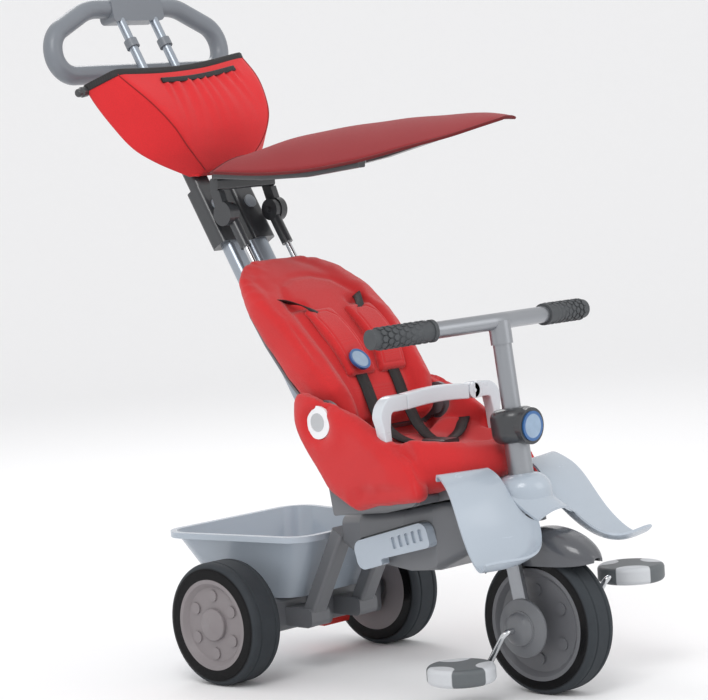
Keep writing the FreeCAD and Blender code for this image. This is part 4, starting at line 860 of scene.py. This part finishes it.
def makeStraps():
    for side, word in ((1, "Left"), (-1, "Right")):
        upper = [onBack(side * y, along, front) for y, along, front in harness["upper"]]
        across = sideways + backUp * side * harness["lean"]
        piece = strapAlong("shoulderStrap" + word, upper, across, backFront)
        dress(piece, "backrest", "strap")
        shifts = harness["nearShift"] if side < 0 else [0, 0, 0]
        low = [onBack(side * y + shift, along, front)
               for (y, along, front), shift in zip(harness["lower"], shifts)]
        low += [at(x, side * y, z) for x, y, z in harness["seat"]]
        piece = strapAlong("lapStrap" + word, low)
        dress(piece, None, "strap", ["harness"] if side > 0 else [])
        tuple(onBack(0, -60, 55))
        tuple(at(262, 0, 363))
        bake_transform(piece)
        lap = [at(x, side * y, z) for x, y, z in harness["lap"]]
        piece = strapAlong("hipStrap" + word, lap, Vector((1, 0, 0.1)), upwards)
        dress(piece, "frame", "strap")
    piece = strapAlong("crotchStrap", [at(*place) for place in harness["crotch"]], lift=upwards)
    dress(piece, "frame", "strap")


makeStraps()
print("harness done")


# bag on the handle: a lofted shell with a slanting mouth that droops in the middle
bag = {
    "reach": -78, "height": 646, "lean": 30.5,
    "stations": [142, 170, 200, 240, 290, 362],
    "nearBacks": [66, 122, 152, 172, 189, 194], "farBacks": [62, 110, 140, 160, 168, 160],
    "nearFronts": [44, 82, 108, 134, 160, 180], "farFronts": [43, 77, 99, 116, 128, 132],
    "depths": [21, 45, 66, 70, 62, 40], "backs": [12.9, 12.9, 7.8, 7.8, 7.8, 7.8],
    "mouthAlong": 290, "mouthHeight": 942, "mouthSlope": -22, "sag": 5.5, "droop": 11,
    "droopPower": 1.2, "highest": 420.0, "halvings": 18,
    "rows": 60, "wall": 0.0022, "counts": [14, 56, 14, 56], "roundings": 4,
    "foot": ((0.8, 3.5, 0.0), (0.86, 3, 0.5)), "footGap": 0.0002,
    "bindingHalf": (0.0022, 0.0058), "pocketNear": -88, "pocketFar": 92, "pocketDrop": 22,
    "elasticHalf": (0.0014, 0.0045), "elasticLift": 1.6, "pipingRadius": 0.0011,
    "tape": [(-1, -0.85), (-0.55, -1), (0.55, -1), (1, -0.85), (1, 0.75), (0.6, 1), (-0.6, 1),
             (-1, 0.75)],
}
# slow waves of the cloth (height, along, across), and the gathers under the pocket's elastic
folds = {"wave": (0.8, 0.06, 0.02), "frontWave": (1.3, 0.03, 0.045), "depth": 2.6, "length": 46,
         "fade": 1.3, "spread": 0.0022, "start": 4, "gather": 0.30, "stray": (0.9, 0.07),
         "fine": (0.35, 0.71), "sideFade": (6, 14)}
knob = {"radius": 8.5, "length": 11, "sides": 28, "bevel": 0.0012, "lean": 8, "off": 0.004,
        "steps": ((0.8, 1.6), (1.0, 1.6), (0.98, 4), (0.7, 2.2))}
handleBase, handleUp, handleFront = leaning(bag)


def onHandle(y, along, front):
    return handleBase + handleUp * (along * mm) + handleFront * (front * mm) + sideways * (y * mm)


def bagLoop(along):
    # the shell's outline at one height: near back, near front, far front, far back
    def value(key):
        return stationValue(bag["stations"], bag[key], along)
    back = value("backs")
    front = back + value("depths")
    corners = [(-value("nearBacks"), back), (-value("nearFronts"), front),
               (value("farFronts"), front), (value("farBacks"), back)]
    loop = []
    for side, count in enumerate(bag["counts"]):
        start, end = Vector(corners[side]), Vector(corners[(side + 1) % 4])
        loop += [start + (end - start) * (step / count) for step in range(count)]
    for rounding in range(bag["roundings"]):
        loop = [(loop[place - 1] + loop[place] * 2 + loop[(place + 1) % len(loop)]) / 4
                for place in range(len(loop))]
    return loop


def bandAlong(name, path, half, up, closed=False):
    # a flat folded tape: half its thickness and half its height
    def ring(point, heading):
        rise = (up - heading * heading.dot(up)).normalized()
        out = heading.cross(rise)
        return [point + out * (half[0] * a) + rise * (half[1] * b) for a, b in bag["tape"]]
    return sweep(name, path, ring, closed)


def makeBag():
    middle = onHandle(0, bag["mouthAlong"], 0)
    middle.z = bag["mouthHeight"] * mm
    mouthUp = (Matrix.Rotation(math.radians(bag["sag"]), 3, "X")
               @ Matrix.Rotation(math.radians(bag["mouthSlope"]), 3, "Y")) @ upwards
    foot = bag["stations"][0]
    count = sum(bag["counts"])
    nearFront, farFront = bag["counts"][0], bag["counts"][0] + bag["counts"][1]
    tops = []
    for place in range(count):
        low, high = foot, bag["highest"]
        for step in range(bag["halvings"]):
            guess = (low + high) / 2
            y, front = bagLoop(guess)[place]
            if (onHandle(y, guess, front) - middle).dot(mouthUp) < 0:
                low = guess
            else:
                high = guess
        if nearFront < place < farFront:
            share = (place - nearFront) / (farFront - nearFront)
            low -= bag["droop"] * math.sin(math.pi * share) ** bag["droopPower"]
        tops.append(low)

    def spot(place, along):
        y, front = bagLoop(along)[place]
        share = (along - foot) / (tops[place] - foot)
        belly = math.sin(min(1.0, max(0.0, share)) * math.pi)
        inFront = nearFront <= place < farFront
        height, up, across = folds["frontWave" if inFront else "wave"]
        ripple = height * math.sin(along * up + y * across) * belly
        edge, width = folds["sideFade"]
        inPocket = min(1.0, max(0.0, (y - bag["pocketNear"] + edge) / width),
                       max(0.0, (bag["pocketFar"] + edge - y) / width))
        drop = tops[place] - along - bag["pocketDrop"]
        if inFront and inPocket and drop > 0:
            # gathers run down from the elastic and spread a little
            spread = 1 - folds["spread"] * drop
            (stray, strayStep), (fine, fineStep) = folds["stray"], folds["fine"]
            gather = (y - folds["start"]) * folds["gather"] * spread
            fold = (math.sin(gather + stray * math.sin(y * strayStep))
                    + fine * math.sin(y * fineStep * spread))
            fade = math.exp(-(drop / folds["length"]) ** folds["fade"])
            ripple += folds["depth"] * fold * inPocket * fade
        return onHandle(y, along, front + ripple)

    middleFront = bag["backs"][0] + bag["depths"][0] / 2
    rows = [[onHandle(y * narrow, foot - drop, middleFront + (front - middleFront) * flat)
             for y, front in bagLoop(foot)] for narrow, drop, flat in bag["foot"]]
    for row in range(bag["rows"] + 1):
        rows.append([spot(place, foot + (tops[place] - foot) * row / bag["rows"])
                     for place in range(count)])
    piece = gridPiece("bagShell", rows, True)
    cleanUp(piece, bag["footGap"])
    modify(piece, "SOLIDIFY", thickness=bag["wall"], offset=-1)
    dress(piece, "handle", "bagCloth", ["bag"])

    binding = bandAlong("bagBinding", rows[-1], bag["bindingHalf"], mouthUp, True)
    dress(binding, "handle", "binding")
    elastic = []
    for place in range(nearFront, farFront):
        along = tops[place] - bag["pocketDrop"]
        y, front = bagLoop(along)[place]
        if bag["pocketNear"] < y < bag["pocketFar"]:
            elastic.append(onHandle(y, along, front + bag["elasticLift"]))
    elastic = bandAlong("pocketElastic", elastic, bag["elasticHalf"], handleUp)
    dress(elastic, "handle", "binding")
    for word, corner in (("Near", nearFront), ("Far", farFront)):
        path = [row[corner] for row in rows[2:]]
        piping = tubeAlong("bagPiping" + word, path, bag["pipingRadius"])
        dress(piping, "handle", "seamCloth")
    first = makeKnob()
    for word, side, corner in (("Near", -1, 0), ("Far", 1, farFront + bag["counts"][2])):
        piece = linked("bagKnob" + word, first.data.copy())
        lean = Matrix.Rotation(math.radians(90 - side * knob["lean"]), 4, "X")
        shift = Vector((0, side * knob["off"], -knob["off"]))
        piece.data.transform(Matrix.Translation(rows[-1][corner] + shift) @ lean)
        dress(piece, "handle", "dark")
    bpy.data.objects.remove(first)


def makeKnob():
    # a short turned end stop with a waist
    piece = cylinder("knob", knob["sides"], knob["radius"], knob["length"])
    for scale, move in knob["steps"]:
        selectFaces(piece, lambda face: isTop(face) and face.center.z > 0)
        extrudeOn((0, 0, move), (scale, scale, 1))
        objectMode()
    modify(piece, "BEVEL", width=knob["bevel"], segments=3, limit_method="ANGLE")
    return piece


makeBag()
print("bag done")


# canopy: one curved sheet with a hem
canopy = {
    "reaches": [-62, 50, 150, 254, 340, 410, 450, 472],
    "edges": [782, 777, 779, 790, 806, 820, 832, 840], "farRises": [0, 6, 20, 30, 26, 20, 8, 0],
    "ridges": [804, 828, 839, 845, 847, 847, 845, 842], "halves": [88, 97, 99, 93, 78, 59, 36, 14],
    "thickness": 0.0028, "rows": 70, "columns": 28, "hem": 0.0024, "crowding": 1.3,
    "ripple": 0.35, "rippleAlong": 0.05, "rippleAcross": 3,
}


def makeCanopy():
    rows = []
    first, last = canopy["reaches"][0], canopy["reaches"][-1]
    for row in range(canopy["rows"] + 1):
        share = row / canopy["rows"]
        reach = first + (last - first) * (1 - (1 - share) ** canopy["crowding"])
        edge, ridge, half, farRise = [stationValue(canopy["reaches"], canopy[key], reach)
                                      for key in ("edges", "ridges", "halves", "farRises")]
        line = []
        for column in range(canopy["columns"] + 1):
            across = -1 + 2 * column / canopy["columns"]
            rise = 1 - across * across
            wave = math.sin(reach * canopy["rippleAlong"] + across * canopy["rippleAcross"])
            ripple = canopy["ripple"] * wave * rise
            low = edge + farRise * (across + 1) / 2
            crest = ridge - edge - farRise / 2
            line.append(at(reach, half * across, low + crest * rise + ripple))
        rows.append(line)
    piece = gridPiece("canopySheet", rows)
    cleanUp(piece)
    if piece.data.polygons[0].normal.z < 0:
        piece.data.flip_normals()
    modify(piece, "SOLIDIFY", thickness=canopy["thickness"], offset=-1)
    # the sheet's red is darkened by painted shade, and so is its hem's
    dress(piece, "canopy", "canopyShadedCloth", ["canopy"])
    drop = Vector((0, 0, -canopy["thickness"] / 2))
    border = ([row[0] for row in rows] + rows[-1][1:-1] + [row[-1] for row in reversed(rows)]
              + rows[0][-2:0:-1])
    hem = tubeAlong("canopyHem", [point + drop for point in border], canopy["hem"], True)
    dress(hem, "canopy", "hemCloth")


makeCanopy()
print("canopy done")


# safety bar: a flattened section carried up each leg, round the corner and along the top
bumper = {
    "reach": 302, "footReach": 308, "footHeight": 338, "height": 431, "legY": 121, "legLean": 3,
    "legHalf": (8.5, 6.2), "legSteps": ((0.5, 1.1), (0.3, 1.22), (0.2, 1.41)), "flare": 1.034,
    "barHalf": (9.4, 11.8), "corner": 19, "cornerSteps": 7, "joint": 76.1, "hinge": 76,
    "gap": 0.4, "knuckle": 12.1, "tongueHalf": 4.4, "bow": 3.5, "bowSteps": 8, "bevel": 2.4,
    "legGap": 2, "lugBevel": 0.8, "lugInset": 0.45, "armReach": 4, "tongueReach": 3,
    "tongueShare": 0.85,
}


def sectionBlock(name, half, upright=False):
    # a flat section, lying or facing along the bar, selected and ready to be extruded
    deselectAll()
    bpy.ops.mesh.primitive_plane_add(size=2)
    piece = bpy.context.object
    piece.name = name
    piece.data.transform(Matrix.Diagonal((half[0] * mm, half[1] * mm, 1, 1)))
    if upright:
        piece.data.transform(Matrix.Rotation(math.radians(90), 4, "X"))
    selectFaces(piece, lambda face: True)
    return piece


def endMiddle(piece):
    objectMode()
    chosen = [face for face in piece.data.polygons if face.select]
    middle = sum((face.center for face in chosen), Vector()) / len(chosen)
    editMode()
    return middle


def makeKnuckle(low, high):
    # a round lug across the bar, with an inset face at each side
    piece = cylinder("knuckle", 40, bumper["knuckle"], high - low)
    selectFaces(piece, lambda face: abs(face.normal.z) > 0.9)
    bpy.ops.mesh.inset(thickness=bumper["knuckle"] * mm * bumper["lugInset"], use_individual=True)
    moveTo(piece, at(bumper["reach"] + (low + high) / 2, bumper["hinge"], bumper["height"]),
           Matrix.Rotation(math.radians(90), 4, "Y"))
    roundOff(piece, bumper["lugBevel"])
    return piece


def makeArm(half, x, y, length):
    # a block between a lug and what carries it
    piece = sectionBlock("arm", half, True)
    extrudeOn((0, length, 0))
    moveTo(piece, at(x, y, bumper["height"]))
    roundOff(piece, bumper["lugBevel"])
    return piece


def joinPieces(pieces, name):
    deselectAll()
    for piece in pieces:
        piece.select_set(True)
    bpy.context.view_layer.objects.active = pieces[0]
    bpy.ops.object.join()
    pieces[0].name = name
    return pieces[0]


def makeBumperLeg(name, short):
    # from the foot up and then inwards, for the rider's left
    piece = sectionBlock(name, bumper["legHalf"])
    rise = bumper["height"] - bumper["footHeight"] - bumper["corner"]
    forward = bumper["reach"] - bumper["footReach"]
    for share, grow in bumper["legSteps"]:
        extrudeOn((forward * share, bumper["legLean"] * share, rise * share),
                  (bumper["flare"], grow, 1))
    step = math.radians(90) / bumper["cornerSteps"]
    length = 2 * bumper["corner"] * math.sin(step / 2)
    for place in range(bumper["cornerSteps"]):
        angle = step * (place + 0.5)
        extrudeOn((0, -length * math.sin(angle), length * math.cos(angle)))
        bpy.ops.transform.rotate(value=-step, orient_axis="X", center_override=endMiddle(piece))
    run = bumper["legY"] + bumper["legLean"] - bumper["corner"] - bumper["joint"]
    extrudeOn((0, -(run - short), 0))
    moveTo(piece, at(bumper["footReach"], bumper["legY"], bumper["footHeight"]))
    return piece


def makeBumper():
    near = makeBumperLeg("bumperLegRight", 0)
    near.data.transform(Matrix.Diagonal((1, -1, 1, 1)))
    roundOff(near, bumper["bevel"], 4)
    far = makeBumperLeg("bumperLegLeft", bumper["knuckle"] + bumper["legGap"])
    roundOff(far, bumper["bevel"], 4)
    x, hinge, thick = bumper["reach"], bumper["hinge"], bumper["knuckle"]
    lugs = []
    for side in (-1, 1):
        inner = bumper["tongueHalf"] + bumper["gap"]
        low, high = sorted((side * inner, side * bumper["barHalf"][0]))
        lugs.append(makeKnuckle(low, high))
        lugs.append(makeArm(((high - low) / 2, thick), x + (low + high) / 2, hinge,
                            thick + bumper["armReach"]))
    far = joinPieces([far] + lugs, "bumperLegLeft")

    bar = sectionBlock("bar", bumper["barHalf"], True)
    start = -bumper["joint"] + bumper["gap"]
    length = hinge - thick - bumper["gap"] * 2 - start
    height = 0
    for place in range(bumper["bowSteps"]):
        lift = bumper["bow"] * math.sin((place + 1) / bumper["bowSteps"] * math.pi)
        extrudeOn((0, length / bumper["bowSteps"], lift - height))
        height = lift
    moveTo(bar, at(x, start, bumper["height"]))
    roundOff(bar, bumper["bevel"], 4)
    reach = thick + bumper["tongueReach"]
    tongue = makeArm((bumper["tongueHalf"], thick * bumper["tongueShare"]), x, hinge - reach, reach)
    disc = makeKnuckle(-bumper["tongueHalf"], bumper["tongueHalf"])
    bar = joinPieces([bar, tongue, disc], "bumperBar")
    dress(near, "frame", "bar", ["bumper_bracket_right"], soft=False)
    dress(far, "frame", "bar", ["bumper_bracket_left"], soft=False)
    dress(bar, "bumper_bar", "bar", ["bumper_bar"], soft=False)


makeBumper()
print("safety bar done")


# brake pedal: a red foot plate with grip ribs on its top
brake = {
    "back": -76, "front": -24, "inner": 61, "outer": 123, "bottom": 43, "top": 67,
    "taper": (0.86, 0.92), "crown": (0.94, 0.97, 1), "waist": 0.55, "rim": 3, "sunk": 1.2,
    "bevel": 2.2, "ribs": 5, "ribHalf": (1.3, 24), "ribRise": 2.2, "ribBevel": 0.4,
    "ribGap": 0.34, "ribSeat": 1.4, "ribCrown": (0.7, 0.97, 1),
}


def makeBrakePedal():
    half = ((brake["front"] - brake["back"]) / 2, (brake["outer"] - brake["inner"]) / 2)
    centre = at((brake["front"] + brake["back"]) / 2, (brake["outer"] + brake["inner"]) / 2,
                brake["bottom"])
    narrow, short = brake["taper"]
    plate = sectionBlock("brakePlate", (half[0] * narrow, half[1] * short))
    rise = brake["top"] - brake["bottom"]
    extrudeOn((0, 0, rise * brake["waist"]), (1 / narrow, 1 / short, 1))
    extrudeOn((0, 0, rise * (1 - brake["waist"])), brake["crown"])
    bpy.ops.mesh.inset(thickness=brake["rim"] * mm)
    extrudeOn((0, 0, -brake["sunk"]))
    moveTo(plate, centre)
    roundOff(plate, brake["bevel"])
    rib = sectionBlock("brakeRib", brake["ribHalf"])
    extrudeOn((0, 0, brake["ribRise"]), brake["ribCrown"])
    objectMode()
    roundOff(rib, brake["ribBevel"], 2)
    ribs = []
    for place in range(brake["ribs"]):
        made = linked("brakeRib", rib.data.copy())
        shift = (place - (brake["ribs"] - 1) / 2) * half[0] * brake["ribGap"]
        lift = Vector((shift * mm, 0, (rise - brake["ribSeat"]) * mm))
        made.data.transform(Matrix.Translation(centre + lift))
        ribs.append(made)
    bpy.data.objects.remove(rib)
    piece = joinPieces([plate] + ribs, "brakePlate")
    dress(piece, "brake_pedal", "brake", soft=False)


makeBrakePedal()
print("brake pedal done")


# domed middle of the front hub covers
hubDome = {"radius": 27, "thick": 2, "sides": 40, "lip": 2.5, "bevel": 0.6,
           "steps": ((4, 0.97), (3.5, 0.88), (3, 0.78), (2, 0.6), (0.9, 0.45))}


def makeHubDomes():
    low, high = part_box("hub_covers")
    centre = (low + high) / 2
    for side, word, outer in ((1, "Left", high.y), (-1, "Right", low.y)):
        piece = cylinder("hubDome" + word, hubDome["sides"], hubDome["radius"], hubDome["thick"])
        selectFaces(piece, isTop)
        bpy.ops.mesh.inset(thickness=hubDome["lip"] * mm)
        for rise, scale in hubDome["steps"]:
            extrudeOn((0, 0, rise), (scale, scale, 1))
        moveTo(piece, Vector((centre.x, outer - side * mm, centre.z)),
               Matrix.Rotation(math.radians(-90 * side), 4, "X"))
        roundOff(piece, hubDome["bevel"])
        dress(piece, "steering", "chassis", soft=False)


makeHubDomes()
print("hub domes done")


# raised studs round both grips, modelled once and copied
gripStuds = {"rings": 9, "around": 10, "radius": 4.6, "rise": 2.1, "margin": 0.012,
             "seat": 0.0151, "inset": 0.35, "crown": 0.0006, "endSlice": 0.004}


def middleOf(values):
    return (min(values) + max(values)) / 2


def gripAxis(side):
    # the middle of the grip's two ends, the inner one first
    points = [vertex.co.copy() for vertex in nodes["grips"].data.vertices if vertex.co.y * side > 0]
    reach = sorted(point.y for point in points)
    ends = []
    for edge in (reach[0], reach[-1]):
        rim = [point for point in points if abs(point.y - edge) < gripStuds["endSlice"]]
        ends.append(Vector((middleOf([point.x for point in rim]), edge,
                            middleOf([point.z for point in rim]))))
    return ends[::side]


def makeStud():
    piece = cylinder("stud", 6, gripStuds["radius"], gripStuds["rise"])
    selectFaces(piece, isTop)
    bpy.ops.mesh.inset(thickness=gripStuds["radius"] * mm * gripStuds["inset"])
    bpy.ops.transform.translate(value=(0, 0, gripStuds["crown"]))
    objectMode()
    selectFaces(piece, lambda face: face.normal.z < -0.9)
    bpy.ops.mesh.delete(type="FACE")
    objectMode()
    return piece


def makeGripStuds():
    stud = makeStud()
    for side, word in ((1, "Left"), (-1, "Right")):
        inner, outer = gripAxis(side)
        run = outer - inner
        heading = run.normalized()
        over = heading.cross(upwards).normalized()
        lift = over.cross(heading).normalized()
        margin = gripStuds["margin"] / run.length
        studs = []
        for ringPlace in range(gripStuds["rings"]):
            share = margin + (ringPlace + 0.5) / gripStuds["rings"] * (1 - 2 * margin)
            centre = inner + run * share
            for turn in range(gripStuds["around"]):
                angle = 2 * math.pi * (turn + 0.5 * (ringPlace % 2)) / gripStuds["around"]
                out = over * math.cos(angle) + lift * math.sin(angle)
                made = linked("stud", stud.data.copy())
                seat = Matrix((out.cross(heading), heading, out)).transposed().to_4x4()
                made.data.transform(Matrix.Translation(centre + out * gripStuds["seat"]) @ seat)
                studs.append(made)
        piece = joinPieces(studs, "gripStuds" + word)
        dress(piece, "steering", "grip", soft=False)
    bpy.data.objects.remove(stud)


makeGripStuds()
print("grips done")


# floor, light and camera
cameraSet = {"place": (3103.6, -3105.6, 862.5), "heading": 43.6965, "dip": 4.8564,
             "roll": -3.5644, "focalPixels": 2808.28, "imageWidth": 708, "sensor": 36,
             "nearest": 0.1, "furthest": 60}
studio = {
    "size": 14, "wall": 9, "curve": 2.5, "curveSteps": 16, "tone": tint(246, 246, 247),
    "skyStrength": 0.9, "aim": Vector((0.0, 0.0, 0.45)),
    "lamps": {  # place, size, power
        "keyLamp": ((1.4, -2.2, 3.0), 1.5, 38),
        "fillLamp": ((3.0, 1.2, 1.7), 1.8, 14),
        "rimLamp": ((-2.2, 1.4, 2.6), 1.4, 20),
    },
}


def makeStudio():
    # a floor that curves up into a backdrop behind the tricycle
    deselectAll()
    bpy.ops.mesh.primitive_plane_add(size=studio["size"])
    floor = bpy.context.object
    floor.name = "floor"
    editMode()
    bpy.ops.mesh.select_mode(type="EDGE")
    bpy.ops.mesh.select_all(action="DESELECT")
    objectMode()
    for line in floor.data.edges:
        ends = [floor.data.vertices[place].co for place in line.vertices]
        line.select = all(end.y > studio["size"] / 2 * 0.9 for end in ends)
    editMode()
    bpy.ops.mesh.extrude_region_move(TRANSFORM_OT_translate={"value": (0, 0, studio["wall"])})
    objectMode()
    modify(floor, "BEVEL", width=studio["curve"], segments=studio["curveSteps"])
    makeActive(floor)
    bpy.ops.object.shade_smooth()
    floor.data.transform(Matrix.Rotation(math.radians(cameraSet["heading"]), 4, "Z"))
    paper = Finish("paper")
    grain = paper.noise(paper.place(), 40, 2, 0.5)
    paper.feed("Base Color", paper.mix(grain, shade(studio["tone"], 0.99), studio["tone"]))
    paper.feed("Roughness", 0.95)
    paper.feed("Specular IOR Level", 0.1)
    floor.data.materials.append(paper.material)
    world = bpy.data.worlds.new("studioSky")
    world.use_nodes = True
    sky = world.node_tree.nodes["Background"]
    sky.inputs["Color"].default_value = (1, 1, 1, 1)
    sky.inputs["Strength"].default_value = studio["skyStrength"]
    bpy.context.scene.world = world
    for name, (place, size, power) in studio["lamps"].items():
        bpy.ops.object.light_add(type="AREA", location=place)
        lamp = bpy.context.object
        lamp.name = name
        lamp.data.size = size
        lamp.data.energy = power
        lamp.rotation_euler = (studio["aim"] - Vector(place)).to_track_quat("-Z", "Y").to_euler()


def makeCamera():
    view = bpy.data.cameras.new("photoCamera")
    camera = linked("photoCamera", view)
    view.sensor_width = cameraSet["sensor"]
    view.lens = cameraSet["focalPixels"] / cameraSet["imageWidth"] * cameraSet["sensor"]
    view.clip_start = cameraSet["nearest"]
    view.clip_end = cameraSet["furthest"]
    turn = (Matrix.Rotation(math.radians(cameraSet["heading"]), 4, "Z")
            @ Matrix.Rotation(math.radians(90 - cameraSet["dip"]), 4, "X")
            @ Matrix.Rotation(math.radians(cameraSet["roll"]), 4, "Z"))
    camera.matrix_world = Matrix.Translation(at(*cameraSet["place"])) @ turn
    bpy.context.scene.camera = camera


makeStudio()
makeCamera()
bpy.context.scene.view_settings.view_transform = "Standard"
print("studio and camera done")
